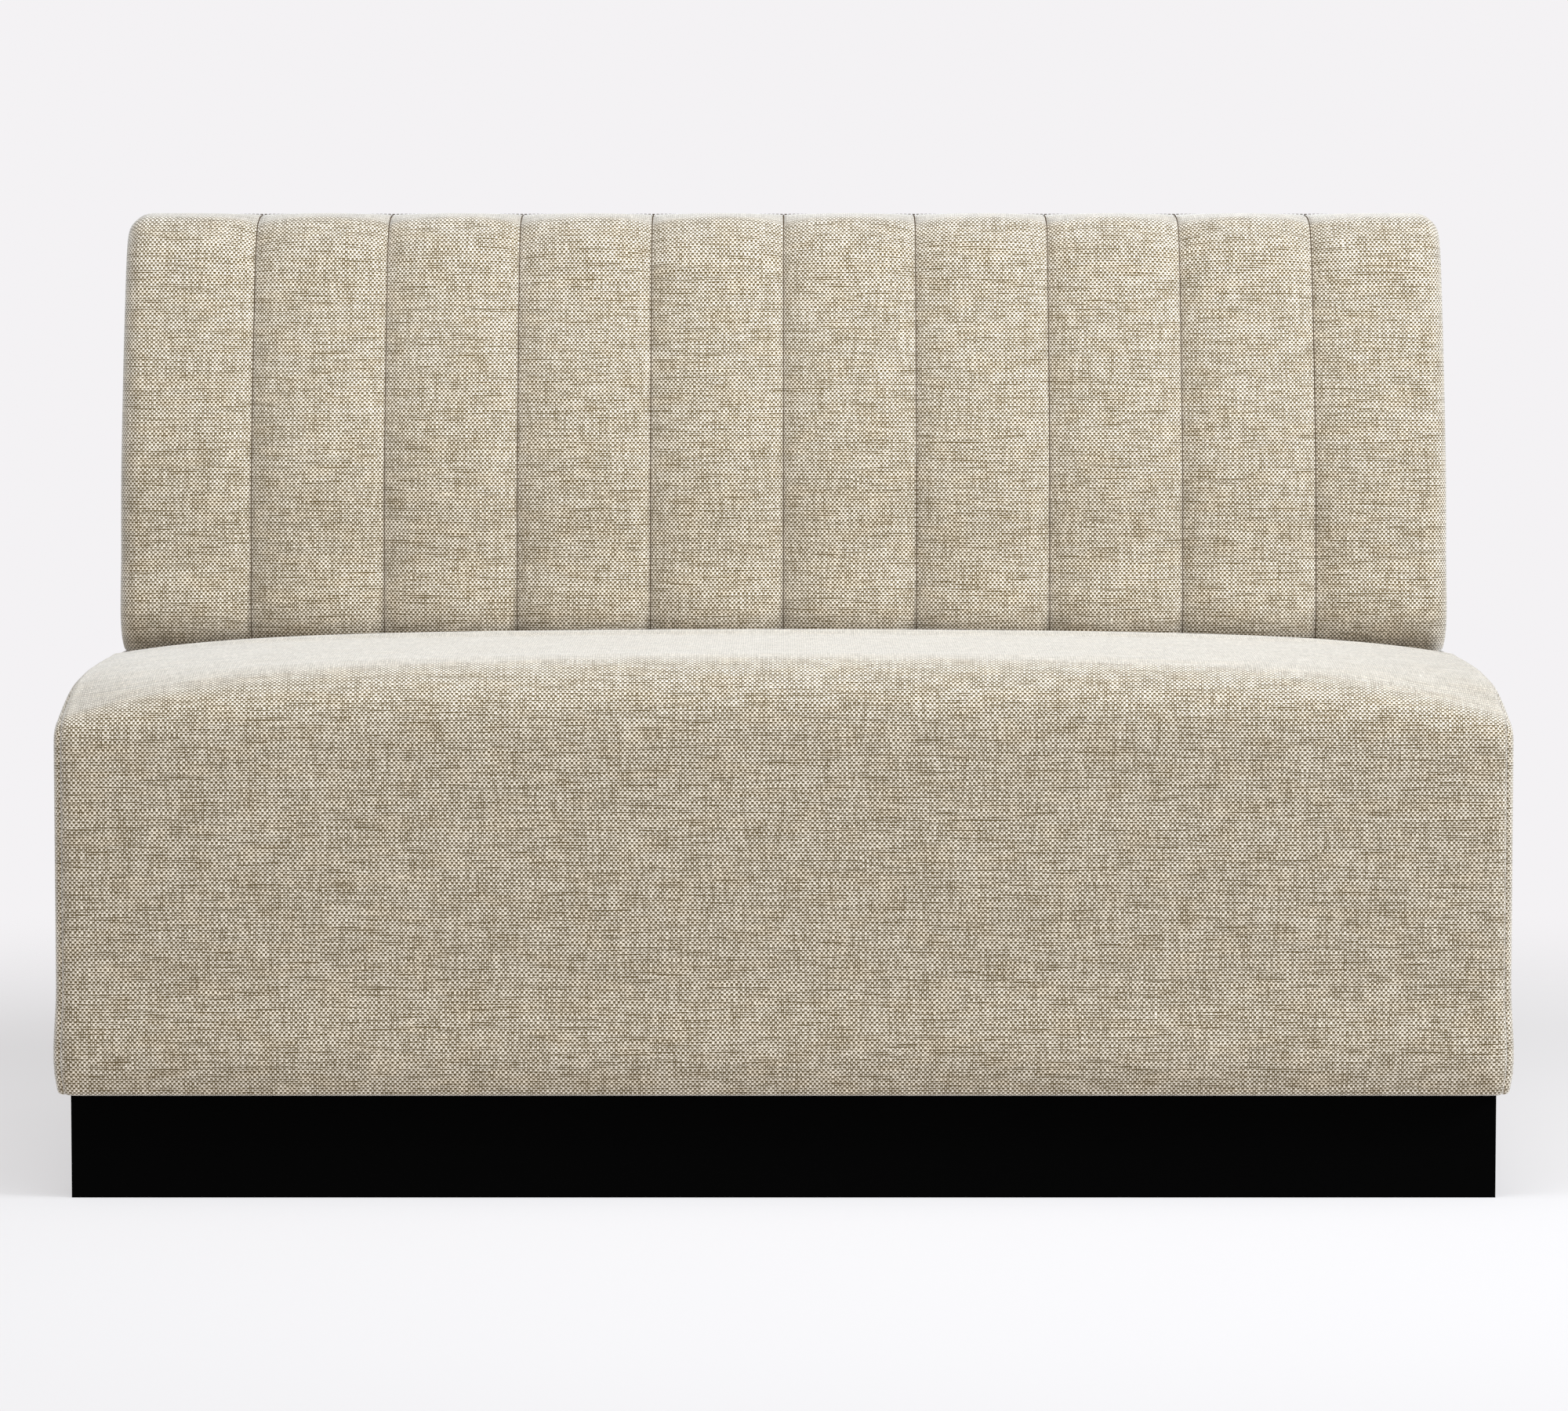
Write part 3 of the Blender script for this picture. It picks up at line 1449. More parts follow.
    def front_wadding(self) -> None:
        """Make the wadding in front of the seat box, wrapped round its corners."""
        form = self.form
        low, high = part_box("seat_front_pad")
        board_low, board_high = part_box("seat_front_board")
        inner_x = board_high.x + form.soft_gap
        inner_y = board_low.y - form.soft_gap
        outer = high.x + form.side_swell
        radius = form.corner_r - form.cover_t - form.soft_gap
        right = [(outer - radius * (1 - math.cos(angle)), low.y + radius * (1 - math.sin(angle)))
                 for angle in ramp(0.0, QUARTER, self.turn_steps)]
        section = [(-x, y) for x, y in right] + right[::-1]
        points = [[Vector((x, y, z)) for x, y in section]
                  for z in ramp(low.z, high.z, self.turn_steps)]
        sheet = Surface.laid(points, lambda point: point.xz)
        sheet.close(lambda vertex: (
            clamp(vertex.co.x, -inner_x, inner_x), max(vertex.co.y, inner_y), vertex.co.z))
        self.padding(sheet, "front_wadding", "seat_front_pad", WADDING, self.wadding_fill)

    def side_wadding(self, side: Side) -> None:
        """Make the wadding over one end of the seat box.

        Args:
            side: Side of the bench.
        """
        node = "seat_%s_pad" % side.word
        low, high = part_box(node)
        deck_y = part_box("seat_deck")[0].y
        step_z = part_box("seat_front_pad")[1].z
        outer_x, inner_x = side.span(low, high)
        outer_x += side.value * self.form.side_swell
        before, behind, rows = self.side_grid
        depths = ramp(low.y, deck_y, before) + ramp(deck_y, high.y, behind)[1:]
        points = [[Vector((outer_x, y, mix(low.z, step_z if y <= deck_y else high.z, share)))
                   for y in depths] for share in ramp(0.0, 1.0, rows)]
        sheet = Surface.laid(points, lambda point: point.yz)
        sheet.close(lambda vertex: (inner_x, vertex.co.y, vertex.co.z))
        self.padding(sheet, "%s_wadding" % side.word, node, WADDING, self.wadding_fill)

    def build(self) -> None:
        """Make all pieces of the seat's upholstery."""
        self.front_and_top()
        self.rear_panel()
        self.cushion()
        self.front_wadding()
        for side in Side:
            self.side_panel(side)
            self.side_wadding(side)


class BackRow(NamedTuple):
    """A row along the seams of the back.

    It holds the depth, the height, the crown's share, the inward direction of the corner as depth
    and height, the height on the rear line and the thickness of the stuffing.
    """

    e: float
    z: float
    crown: float
    inset_e: float
    inset_z: float
    rear_z: float
    stuffing: float


@dataclass
class BackForm:
    """Shape of the back, as a path that its seams follow and a crown between them.

    Attributes:
        crown_h: How far a channel stands out from its seams.
        lumbar_e: Depth of the foremost seams.
        recline: How far the top leans behind.
        roll_drop: Height left for the rolled top.
        roll_r: Radius of the rolled top.
        corner_r: Radius of the upright corners.
        channel_t: Thickness of a channel at its seams.
        toe_r: Set-back of the foot of the channels.
        under_d: How far the cloth runs under them.
        side_draw: How far the taut sides lie inside the frame's box.
        soft_gap: Clearance between soft pieces.
        cover_t: Room that the frame leaves for fabric.
        channel_count: Number of channels.
        roll_degs: Rows round the rolled top, measured from the upright.
        recline_shares: Line of the seams, as shares of the height and the recline.
        crown_shares: Crown at each control row.
        stuffing_shares: Thickness of the stuffing at each control row.
        rear_line_shares: Height on the rear line at each control row.
        under_corner_shares: Inward direction of the corner under the channels.
        section_power, section_root: Fullness of a channel's section.
        steps: Rows between two controls.
    """

    crown_h: float = 13 * MM
    lumbar_e: float = 472 * MM
    recline: float = 73 * MM
    roll_drop: float = 30 * MM
    roll_r: float = 35 * MM
    corner_r: float = 22 * MM
    channel_t: float = 32 * MM
    toe_r: float = 12 * MM
    under_d: float = 46 * MM
    side_draw: float = 1.8 * MM
    soft_gap: float = 0.3 * MM
    cover_t: float = 2 * MM
    channel_count: int = 10
    roll_degs: Range = (68.0, 38.5, 9.0)
    recline_shares: tuple[tuple[float, float], ...] = (
        (0.05, 0), (0.24, 0.01), (0.43, 0.09), (0.63, 0.33), (0.82, 0.62), (1, 1))
    crown_shares: Range = (0, 0.1, 1, 1, 1, 1, 1, 0.95, 0.75, 0.5, 0.1)
    stuffing_shares: Range = (1, 1, 1, 1, 1, 1, 1, 0.95, 0.85, 0.62, 0.62)
    rear_line_shares: Range = (
        0.014, 0.022, 0.052, 0.225, 0.4, 0.585, 0.75, 0.85, 0.88, 0.907, 0.934)
    under_corner_shares: tuple[tuple[float, float], ...] = ((0, 0.2), (0.85, 0.3))
    section_power: float = 2.2
    section_root: float = 0.62
    steps: tuple[int, ...] = (4, 6, 9, 9, 10, 10, 9, 6, 6, 7)

    def __post_init__(self) -> None:
        """Take the overall places from the frame."""
        low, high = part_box("channel_cover")
        self.half_w = high.x
        self.edge_x = high.x - self.side_draw
        self.flat_x = self.edge_x - self.corner_r
        self.front_y = cad_bounds[0][1]
        self.base_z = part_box("seat_deck")[1].z + 2 * self.cover_t + self.soft_gap
        self.top_z = cad_bounds[1][2]
        self.edge_e = high.y - self.front_y
        self.pitch = 2 * self.half_w / self.channel_count
        self.inward = self.cover_t + self.soft_gap
        self.rows = self.seam_rows()
        self.toe = next(k for k, row in enumerate(self.rows) if row.e <= self.lumbar_e + self.toe_r)
        self.normals = path_normals(self.rows)
        self.normals[-1] = UPWARD

    def seam_rows(self) -> list[BackRow]:
        """Draw the line of the seams.

        Returns:
            Its rows, from under the channels to the rear edge of the top.
        """
        toe_e = self.lumbar_e + self.toe_r
        roll_e = self.lumbar_e + self.recline
        roll_z = self.top_z - self.roll_drop
        start, *turns = (math.radians(degrees) for degrees in self.roll_degs)
        spots = [(toe_e + self.under_d, self.base_z), (toe_e, self.base_z)]
        spots += [(self.lumbar_e + self.recline * back, mix(self.base_z, roll_z, up))
                  for up, back in self.recline_shares]
        spots += [(roll_e + self.roll_r * (math.sin(start) - math.sin(angle)),
                   roll_z + self.roll_r * (math.cos(angle) - math.cos(start))) for angle in turns]
        spots.append((self.edge_e, self.top_z - self.crown_h * self.crown_shares[-1]))
        normals = path_normals(spots)
        normals[-1] = UPWARD
        insets = [(-e, -z) for e, z in normals]
        insets[:len(self.under_corner_shares)] = self.under_corner_shares
        rear = [mix(self.base_z, self.top_z, share) for share in self.rear_line_shares]
        stuffing = [self.channel_t * share for share in self.stuffing_shares]
        controls = [
            BackRow(*spot, crown, *inset, rear_z, thick) for spot, crown, inset, rear_z, thick
            in zip(spots, self.crown_shares, insets, rear, stuffing)]
        return [BackRow(*row) for row in smooth_rows(controls, self.steps)]

    def section(self, share: float) -> float:
        """Return how far a channel stands out at a share of its width, from 0 to 1."""
        return max(0.0, 1 - abs(2 * share - 1) ** self.section_power) ** self.section_root

    def outer_side(self, channel: int, share: float) -> Side | None:
        """Find out whether a place on a channel belongs to a corner.

        Args:
            channel: Number of the channel from the left, counted from 0.
            share: Share of the channel's width.

        Returns:
            The side of that corner, or None.
        """
        if channel == 0 and share < 0.5:
            return Side.LEFT
        if channel == self.channel_count - 1 and share > 0.5:
            return Side.RIGHT
        return None

    def plain(self, x: float, crown: float, k: int, inward: float = 0.0) -> Vector:
        """Return a place on a channel.

        Args:
            x: Its place across the bench.
            crown: How far it stands out, from 0 at the seams to 1.
            k: Row along the seams.
            inward: Distance inside the cloth.

        Returns:
            The place.
        """
        row, normal = self.rows[k], self.normals[k]
        out = self.crown_h * row.crown * crown - inward
        return Vector((x, self.front_y + row.e + normal[0] * out, row.z + normal[1] * out))

    def corner(self, side: Side, angle: float, k: int, inward: float = 0.0) -> Vector:
        """Return a place on the rounded corner.

        Args:
            side: Side of the bench.
            angle: A right angle at the front, 0 at the side.
            k: Row along the seams.
            inward: Distance inside the cloth.

        Returns:
            The place.
        """
        radius = self.corner_r - inward
        spot = self.plain(0.0, 1.0, k, inward)
        drawn = radius * (1 - math.sin(angle))
        spot.x = side.value * (self.edge_x - inward - radius * (1 - math.cos(angle)))
        spot.y += self.rows[k].inset_e * drawn
        spot.z += self.rows[k].inset_z * drawn
        return spot


@dataclass
class BackUpholstery(Upholstery):
    """Skin, channels and rear panel of the back.

    Attributes:
        form: Shape of the back.
        channel_columns: Columns of the skin on a channel.
        corner_columns: Columns of the skin round a corner.
        side_columns: Columns of the skin on a side.
        side_bulge: How far a side stands out at its middle.
        stuffing_columns: Columns of a channel's stuffing.
        corner_share: Share of an outer channel's width that goes round the corner.
        channel_fill: How tightly the channels are filled.
        side_rows: Rows of the stuffing over a side.
        side_fill: How tightly the sides are filled.
        rear_grid: Steps of the rear panel round a corner, up between corners and across.
        seam_wire_r: Radius of the thread in the seams.
        seam_lift: How far it stands out of them.
        stitch_pitch: Distance between stitches along the rear edge of the top.
        stitch_len: Length of a stitch.
        stitch_r: Radius of its thread.
        stitch_inset: Distance of the stitches from the rear edge.
        level_fade: Distances below the top between which the yarns cease to run level.
    """

    form: BackForm = field(default_factory=BackForm)
    channel_columns: int = 18
    corner_columns: int = 8
    side_columns: int = 6
    side_bulge: float = 0.3 * MM
    stuffing_columns: int = 10
    corner_share: float = 0.3
    channel_fill: float = 0.95
    side_rows: int = 4
    side_fill: float = 0.9
    rear_grid: tuple[int, int, int] = (6, 12, 40)
    seam_wire_r: float = 0.6 * MM
    seam_lift: float = 0.3 * MM
    stitch_pitch: float = 4.2 * MM
    stitch_len: float = 2.6 * MM
    stitch_r: float = 0.5 * MM
    stitch_inset: float = 1.5 * MM
    level_fade: tuple[float, float] = (30 * MM, 90 * MM)

    def side_line(self, side: Side, k: int) -> list[Vector]:
        """List the places from the rear edge of a side to its front corner.

        Args:
            side: Side of the bench.
            k: Row along the seams.

        Returns:
            The places.
        """
        form = self.form
        start = Vector((side.value * form.edge_x, form.front_y + form.edge_e, form.rows[k].rear_z))
        end = form.corner(side, 0.0, k)
        line = []
        for step in range(self.side_columns):
            share = step / self.side_columns
            spot = mix(start, end, share)
            spot.x += side.value * self.side_bulge * math.sin(math.pi * share)
            line.append(spot)
        for step in range(self.corner_columns):
            line.append(form.corner(side, QUARTER * step / self.corner_columns, k))
        return line

    def stations(self) -> list[tuple[float, float]]:
        """List the skin's columns between the corners.

        Returns:
            X and the crown of each.
        """
        form = self.form
        stations = [(-form.flat_x, 1.0)]
        for channel in range(form.channel_count):
            for step in range(self.channel_columns):
                share = crowded(step, self.channel_columns)
                x = -form.half_w + (channel + share) * form.pitch
                if abs(x) <= form.flat_x - MM:
                    outer = form.outer_side(channel, share)
                    stations.append((x, 1.0 if outer else form.section(share)))
        stations.append((form.flat_x, 1.0))
        return stations

    def skin(self) -> None:
        """Make the skin that is sewn down between the channels."""
        form = self.form
        stations = self.stations()
        rows = []
        for k in range(len(form.rows)):
            left, right = (self.side_line(side, k) for side in Side)
            rows.append(left + [form.plain(x, crown, k) for x, crown in stations] + right[::-1])
        along = path_lengths(form.rows)
        across = line_lengths(rows[len(rows) // 2])
        heights = [row.z for row in form.rows]

        def level(z: float) -> float:
            """Find a height on the seams.

            Args:
                z: The height.

            Returns:
                The length along the seams there.
            """
            k = form.toe
            while k < len(heights) - 3 and heights[k + 1] < z:
                k += 1
            rise = max(heights[k + 1] - heights[k], MM / 10)
            return mix(along[k], along[k + 1], (z - heights[k]) / rise)

        def cloth(row: int, column: int) -> tuple[float, float]:
            """Lay the yarns level up to the rolled top.

            Args:
                row: Row of the skin.
                column: Column of the skin.

            Returns:
                The place on the flat cloth.
            """
            near, far = self.level_fade
            keep = 0.0
            if row > form.toe:
                keep = 1 - clamp((heights[row] - form.top_z + far) / (far - near), 0.0, 1.0)
            return (across[column] - across[-1] / 2,
                    mix(along[row], level(rows[row][column].z), keep))

        sheet = Surface()
        sheet.lay(rows, cloth)
        pads = ["back_channel_%02d" % (number + 1) for number in range(form.channel_count)]
        self.cover(sheet, "back_skin", "channel_cover", (across[-1], along[-1]), pads)

    def channel(self, number: int) -> None:
        """Make the stuffing of one channel.

        Args:
            number: Number of the channel from the left, counted from 0.
        """
        form = self.form
        left_x = -form.half_w + number * form.pitch
        rows = []
        backs = []
        for k in range(form.toe, len(form.rows)):
            line = []
            for step in range(self.stuffing_columns + 1):
                share = crowded(step, self.stuffing_columns)
                x = clamp(left_x + share * form.pitch, left_x + form.soft_gap / 2,
                          left_x + form.pitch - form.soft_gap / 2)
                side = form.outer_side(number, share)
                turn = (share if side is Side.LEFT else 1 - share) / self.corner_share
                if side and turn < 1:
                    line.append(form.corner(side, QUARTER * turn, k, form.inward))
                else:
                    line.append(form.plain(x, 1.0 if side else form.section(share), k, form.inward))
            rows.append(line)
            depth = form.rows[k].stuffing - form.soft_gap
            backs.append([form.plain(spot.x, 0.0, k, depth) for spot in line])
        sheet = Surface.laid(rows, lambda point: point.xz)

        def behind(vertex: Vertex) -> tuple[float, float, float]:
            """Return the place of a vertex behind the stuffing."""
            front = rows[vertex[sheet.level]][vertex[sheet.station]]
            back = backs[vertex[sheet.level]][vertex[sheet.station]]
            return (front.x, max(back.y, front.y + MM), max(back.z, form.base_z + form.cover_t))

        sheet.close(behind)
        self.padding(sheet, "back_channel_%02d" % (number + 1), "channel_pad_%02d" % (number + 1),
                     FOAM, self.channel_fill)

    def side_stuffing(self, side: Side) -> None:
        """Make the stuffing over one side of the back frame.

        Args:
            side: Side of the bench.
        """
        form = self.form
        node = "back_%s_pad" % side.word
        low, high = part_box(node)
        outer_x, inner_x = side.span(low, high)
        depth = form.corner_r + form.soft_gap
        points = []
        for k, row in enumerate(form.rows):
            if row.z >= low.z and row.e < form.edge_e:
                front = form.plain(outer_x, 0.0, k, max(row.stuffing, depth))
                start_y = min(front.y, high.y - MM)
                points.append([Vector((outer_x, y, clamp(front.z, low.z, high.z)))
                               for y in ramp(start_y, high.y, self.side_rows)])
        sheet = Surface.laid(points, lambda point: point.yz)
        sheet.close(lambda vertex: (inner_x, vertex.co.y, vertex.co.z))
        self.padding(sheet, "back_%s_stuffing" % side.word, node, FOAM, self.side_fill)

    def rear_panel(self) -> None:
        """Make the rear panel, with the rounded shoulders and feet of the skin."""
        form = self.form
        low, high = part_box("back_rear_cover")
        half_w = high.x - form.side_draw
        head_r = form.corner_r
        foot_r = form.corner_r * form.under_corner_shares[0][1]
        head_z, foot_z = high.z - head_r, low.z + foot_r
        turn_steps, rise_steps, columns = self.rear_grid
        turns = ramp(0.0, QUARTER, turn_steps)
        heights = [low.z + foot_r * (1 - math.cos(turn)) for turn in turns]
        heights += ramp(foot_z, head_z, rise_steps)[1:-1]
        heights += [high.z - head_r * (1 - math.sin(turn)) for turn in turns]
        points = []
        for z in heights:
            over, under = max(0.0, z - head_z), max(0.0, foot_z - z)
            half = half_w - head_r + math.sqrt(max(0.0, head_r ** 2 - over ** 2))
            half -= foot_r - math.sqrt(max(0.0, foot_r ** 2 - under ** 2))
            points.append([Vector((x, high.y, z)) for x in ramp(half, -half, columns)])
        sheet = Surface.laid(points, lambda point: (-point.x, point.z))
        self.cover(sheet, "back_rear_panel", "back_rear_cover",
                   (high.x - low.x, high.z - low.z), ["back_post_1", "back_top_rail"])

    def wires(self, name: str, lines: Grid, radius: float) -> None:
        """Make thread along lines.

        Args:
            name: Name of the piece.
            lines: Places along each line.
            radius: Radius of the thread.
        """
        curve = bpy.data.curves.new(name, "CURVE")
        curve.dimensions = "3D"
        curve.bevel_depth = radius
        curve.bevel_resolution = 1
        curve.use_fill_caps = True
        for line in lines:
            spline = curve.splines.new("POLY")
            spline.points.add(len(line) - 1)
            for point, spot in zip(spline.points, line):
                point.co = (*spot, 1.0)
        curve.materials.append(self.shop.get(THREAD))
        settle(add_object(name, curve), THREAD.slot, [])

    def seams(self) -> None:
        """Make the thread at the bottom of each groove and along the rear edge of the top."""
        form = self.form
        grooves = []
        for seam in range(1, form.channel_count):
            x = -form.half_w + seam * form.pitch
            grooves.append([form.plain(x, 0.0, k, -self.seam_lift)
                            for k in range(len(form.rows) - 1)])
        self.wires("channel_seams", grooves, self.seam_wire_r)
        y = form.front_y + form.edge_e - self.stitch_inset
        z = form.rows[-1].z + self.stitch_r
        count = int(2 * form.flat_x / self.stitch_pitch)
        pitch = 2 * form.flat_x / count
        starts = [(k + 0.5) * pitch - form.flat_x - self.stitch_len / 2 for k in range(count)]
        stitches = [[Vector((x, y, z)), Vector((x + self.stitch_len, y, z))] for x in starts]
        self.wires("rear_seam_stitches", stitches, self.stitch_r)

    def build(self) -> None:
        """Make all pieces of the back's upholstery."""
        self.skin()
        self.rear_panel()
        self.seams()
        for number in range(self.form.channel_count):
            self.channel(number)
        for side in Side:
            self.side_stuffing(side)


@dataclass(frozen=True)
class Carcass:
    """Frame pieces that keep their CAD meshes and take a finish.

    Attributes:
        shop: Holder of the finishes.
    """

    shop: Workshop

    def dress(self) -> None:
        """Give every CAD node that stays its finish."""
        finishes = {finish.slot.value: finish for finish in (
            BLACK_PAINT, PLYWOOD, BEECH, ZINC, SPRING_WIRE, NYLON, DUST_CLOTH, FELT, FOAM, WADDING)}
        for part in frame["record"]["subparts"]:
            finish = finishes.get(part["material_slot"])
            if finish is None:
                continue
            node = frame["nodes"][part["node"]]
            node.data.materials.clear()
            node.data.materials.append(self.shop.get(finish))
            log.info("%s takes %s", part["node"], finish.name)


@dataclass
class Levellers:
    """Threaded stems of the levelling feet, each with its neck and hexagon.

    Attributes:
        shop: Holder of the finishes.
        count: Number of feet.
        stem_len: Length of the thread above the hexagon.
        stem_r: Outer radius of the thread.
        thread_pitch: Rise of the thread in one turn.
        thread_depth: Depth of the thread.
        chamfer: Bevel at the upper end.
        hex_h: Height of the hexagon.
        flat_r: Distance of its flats from the middle.
        neck_r: Radius of the neck that sits in the pad.
        columns: Facets round a stem, a multiple of six.
        turn_rows: Rows of facets in one turn of the thread.
        sharp_deg: Angle between facets from which an edge is sharp.
    """

    shop: Workshop
    count: int = 4
    stem_len: float = 54 * MM
    stem_r: float = 5 * MM
    thread_pitch: float = 1.5 * MM
    thread_depth: float = 0.8 * MM
    chamfer: float = 0.9 * MM
    hex_h: float = 7.5 * MM
    flat_r: float = 8.5 * MM
    neck_r: float = 4 * MM
    columns: int = 36
    turn_rows: int = 6
    sharp_deg: float = 35.0

    def thread(self, level: float, angle: float) -> float:
        """Return the radius of the thread at a height above the hexagon."""
        turn = (level / self.thread_pitch - angle / math.tau) % 1.0
        return self.stem_r - self.thread_depth * abs(2 * turn - 1)

    def hexagon(self, angle: float) -> float:
        """Return the radius of the hexagon, which has a corner at angle zero."""
        sixth = math.tau / 6
        return self.flat_r / math.cos(angle % sixth - sixth / 2)

    def rings(self, low_z: float, high_z: float) -> list[tuple[float, Callable[[float], float]]]:
        """List the rings of a stem upwards.

        Args:
            low_z: Height of its lower end.
            high_z: Height of its upper end.

        Returns:
            Height of each ring, and its radius as a function of the angle.
        """
        top = high_z - self.stem_len
        rings = [(z, lambda angle: self.neck_r) for z in (low_z, top - self.hex_h)]
        rings += [(z, self.hexagon) for z in (top - self.hex_h, top)]
        rows = int((self.stem_len - self.chamfer) / self.thread_pitch * self.turn_rows)
        for row in range(rows + 1):
            level = row * self.thread_pitch / self.turn_rows
            rings.append((top + level, lambda angle, level=level: self.thread(level, angle)))
        rings.append((high_z, lambda angle: self.stem_r - self.thread_depth - self.chamfer / 2))
        return rings

    def stem(self, low: Vector, high: Vector) -> bmesh.types.BMesh:
        """Draw a stem upwards from its lowest ring.

        Args:
            low, high: Corners of its box.

        Returns:
            The bmesh of the stem.
        """
        middle = (low + high) / 2
        bm = bmesh.new()
        station = bm.verts.layers.int.new("station")
        made = bmesh.ops.create_circle(bm, cap_ends=True, segments=self.columns, radius=self.neck_r)
        ring = made["verts"]
        for k, vertex in enumerate(ring):
            vertex[station] = k
        edges = bm.edges[:]
        for step, (z, radius) in enumerate(self.rings(low.z, high.z)):
            if step:
                made = bmesh.ops.extrude_edge_only(bm, edges=edges)
                fresh = [item for item in made["geom"] if isinstance(item, Vertex)]
                ring = sorted(fresh, key=lambda vertex: vertex[station])
                edges = [bm.edges.get(pair) for pair in zip(ring, ring[1:] + ring[:1])]
            for vertex in ring:
                angle = math.tau * vertex[station] / self.columns
                vertex.co = (middle.x + radius(angle) * math.cos(angle),
                             middle.y + radius(angle) * math.sin(angle), z)
        bmesh.ops.holes_fill(bm, edges=edges, sides=0)
        bmesh.ops.recalc_face_normals(bm, faces=bm.faces[:])
        return bm

    def build(self) -> None:
        """Make every stem."""
        for number in range(1, self.count + 1):
            node = "leveller_stem_%d" % number
            bm = self.stem(*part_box(node))
            piece = make_object(bm, "threaded_stem_%d" % number, self.shop.get(ZINC))
            piece.data.set_sharp_from_angle(angle=math.radians(self.sharp_deg))
            settle(piece, ZINC.slot, [node], "screw_%d" % number)


@dataclass(frozen=True)
class Lamp:
    """A soft lamp.

    Attributes:
        name: Name of the lamp.
        place: Where it hangs.
        aim: Where it points.
        size: Width and height of its face.
        power: Power in watts.
        colour: Colour of its light.
    """

    name: str
    place: Triple
    aim: Triple
    size: tuple[float, float]
    power: float
    colour: Triple

    def hang(self) -> None:
        """Put the lamp into the scene."""
        data = bpy.data.lights.new(self.name, "AREA")
        data.shape = "RECTANGLE"
        data.size, data.size_y = self.size
        data.energy = self.power
        data.color = self.colour
        lamp = add_object(self.name, data)
        lamp.location = self.place
        direction = Vector(self.aim) - Vector(self.place)
        lamp.rotation_euler = direction.to_track_quat("-Z", "Y").to_euler()


LAMPS = (
    Lamp("key", (3.6, -1.2, 2.0), (0.0, 0.0, 0.6), (1.2, 1.2), 140.0, (0.91, 0.955, 1.0)),
    Lamp("left fill", (-3.0, -2.6, 1.8), (0.0, 0.0, 0.5), (1.5, 1.5), 17.0, (1.0, 0.98, 0.95)),
    Lamp("overhead strip", (0.0, -0.95, 2.1), (0.0, -0.05, 0.5), (2.6, 0.7), 45.0,
         (0.88, 0.935, 1.0)),
    Lamp("front fill", (0.0, -6.2, 0.9), (0.0, 0.0, 0.5), (2.4, 1.4), 62.0, (1.0, 0.97, 0.925)),
)


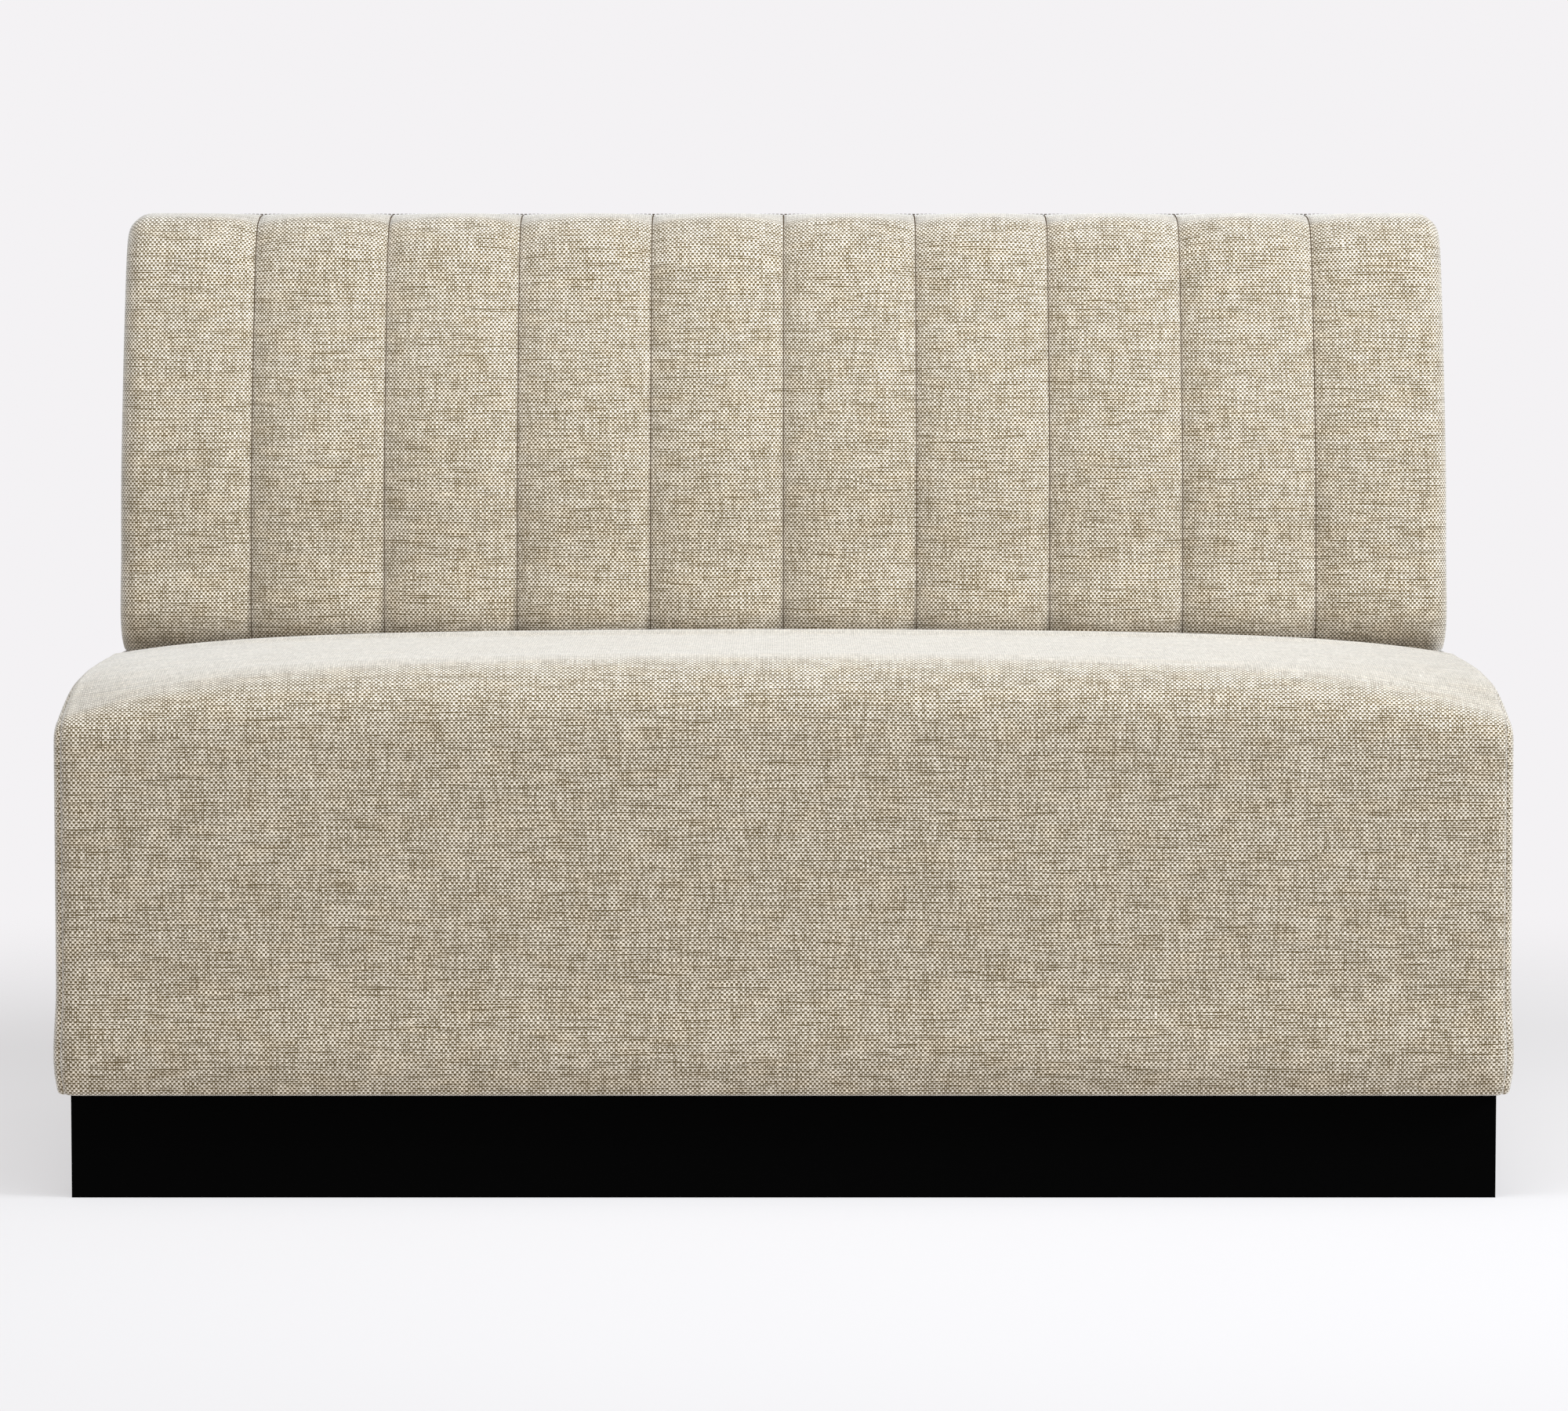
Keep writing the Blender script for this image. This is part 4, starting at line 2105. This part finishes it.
@dataclass
class Studio:
    """Camera, lights and floor, as the photograph has them.

    Attributes:
        photo_w: Width of the photograph in pixels.
        focal_px: Focal length of the camera in those pixels.
        centre_px: Column of the photograph that the bench is centred on.
        camera_y: Place of the camera along Y.
        camera_z: Its height.
        pitch: How far it looks down, in radians.
        sensor_mm: Width of its sensor.
        view_reach: How far it sees.
        backdrop: Colour of the backdrop.
        daylight: Colour of the even light from all round.
        daylight_strength: Strength of that light.
        floor_r: Radius of the floor.
        floor_sides: Number of its sides.
        floor_paint: Colour that takes light and shadow.
        floor_glow: Colour that shines by itself.
        floor_glow_strength: Strength of that glow.
        floor_roughness: Roughness of the floor.
        floor_specular: Strength of its reflections at right angles.
        floor_fade: Distances from the bench between which the floor fades.
    """

    photo_w: float = 2000.0
    focal_px: float = 6700.0
    centre_px: float = 999.5
    camera_y: float = -5.066
    camera_z: float = 0.780
    pitch: float = 0.0683
    sensor_mm: float = 36.0
    view_reach: float = 60.0
    backdrop: Triple = (0.903, 0.887, 0.905)
    daylight: Triple = (1.0, 0.98, 0.95)
    daylight_strength: float = 0.32
    floor_r: float = 6.0
    floor_sides: int = 96
    floor_paint: Triple = (0.3, 0.295, 0.295)
    floor_glow: Triple = (0.903, 0.887, 0.9)
    floor_glow_strength: float = 0.58
    floor_roughness: float = 0.9
    floor_specular: float = 0.1
    floor_fade: tuple[float, float] = (0.95, 2.4)

    def camera(self) -> None:
        """Place the camera."""
        data = bpy.data.cameras.new("camera")
        data.sensor_width = self.sensor_mm
        data.lens = self.focal_px / self.photo_w * self.sensor_mm
        data.shift_x = (self.photo_w / 2 - self.centre_px) / self.photo_w
        data.clip_end = self.view_reach
        camera = add_object("camera", data)
        camera.location = (0.0, self.camera_y, self.camera_z)
        camera.rotation_euler = (QUARTER - self.pitch, 0.0, 0.0)
        bpy.context.scene.camera = camera

    def world(self) -> None:
        """Show the camera a plain backdrop and give everything else an even fill."""
        world = bpy.data.worlds.new("studio")
        world.use_nodes = True
        shade = Shader(world.node_tree)
        output = world.node_tree.nodes["World Output"]
        seen = world.node_tree.nodes["Background"]
        shade.feed(seen, {"Color": rgba(self.backdrop)})
        fill = shade.node("ShaderNodeBackground", {
            "Color": rgba(self.daylight), "Strength": self.daylight_strength})
        choice = shade.node("ShaderNodeMixShader", {
            0: shade.node("ShaderNodeLightPath").outputs["Is Camera Ray"],
            1: fill.outputs[0], 2: seen.outputs[0]})
        shade.feed(output, {"Surface": choice.outputs[0]})
        bpy.context.scene.world = world

    def floor(self) -> None:
        """Lay a pale floor that fades into the backdrop and is see-through from below."""
        bm = bmesh.new()
        bmesh.ops.create_circle(bm, cap_ends=True, segments=self.floor_sides, radius=self.floor_r)
        material = bpy.data.materials.new("floor")
        material.use_nodes = True
        material.cycles.emission_sampling = "NONE"
        shade = Shader(material.node_tree)
        shader = material.node_tree.nodes["Principled BSDF"]
        place = shade.node("ShaderNodeTexCoord").outputs["Object"]
        length = shade.node("ShaderNodeVectorMath", {0: place}, operation="LENGTH")
        fade = shade.spread(length.outputs["Value"], *self.floor_fade, 1.0, 0.0)
        below = shade.node("ShaderNodeNewGeometry").outputs["Backfacing"]
        shade.feed(shader, {
            "Base Color": rgba(self.floor_paint), "Emission Color": rgba(self.floor_glow),
            "Emission Strength": self.floor_glow_strength, "Roughness": self.floor_roughness,
            "Specular IOR Level": self.floor_specular,
            "Alpha": shade.times(fade, shade.math("SUBTRACT", 1.0, below))})
        make_object(bm, "floor", material)

    def build(self) -> None:
        """Set up the whole studio."""
        self.camera()
        for lamp in LAMPS:
            lamp.hang()
        self.world()
        self.floor()
        bpy.context.scene.view_settings.view_transform = "Standard"


def main() -> None:
    """Build the studio, dress the frame and make every soft piece and threaded stem."""
    logging.basicConfig(level=logging.INFO, format="%(name)s: %(message)s")
    Studio().build()
    shop = Workshop()
    Carcass(shop).dress()
    SeatUpholstery(shop).build()
    BackUpholstery(shop).build()
    Levellers(shop).build()


if __name__ == "__main__":
    main()
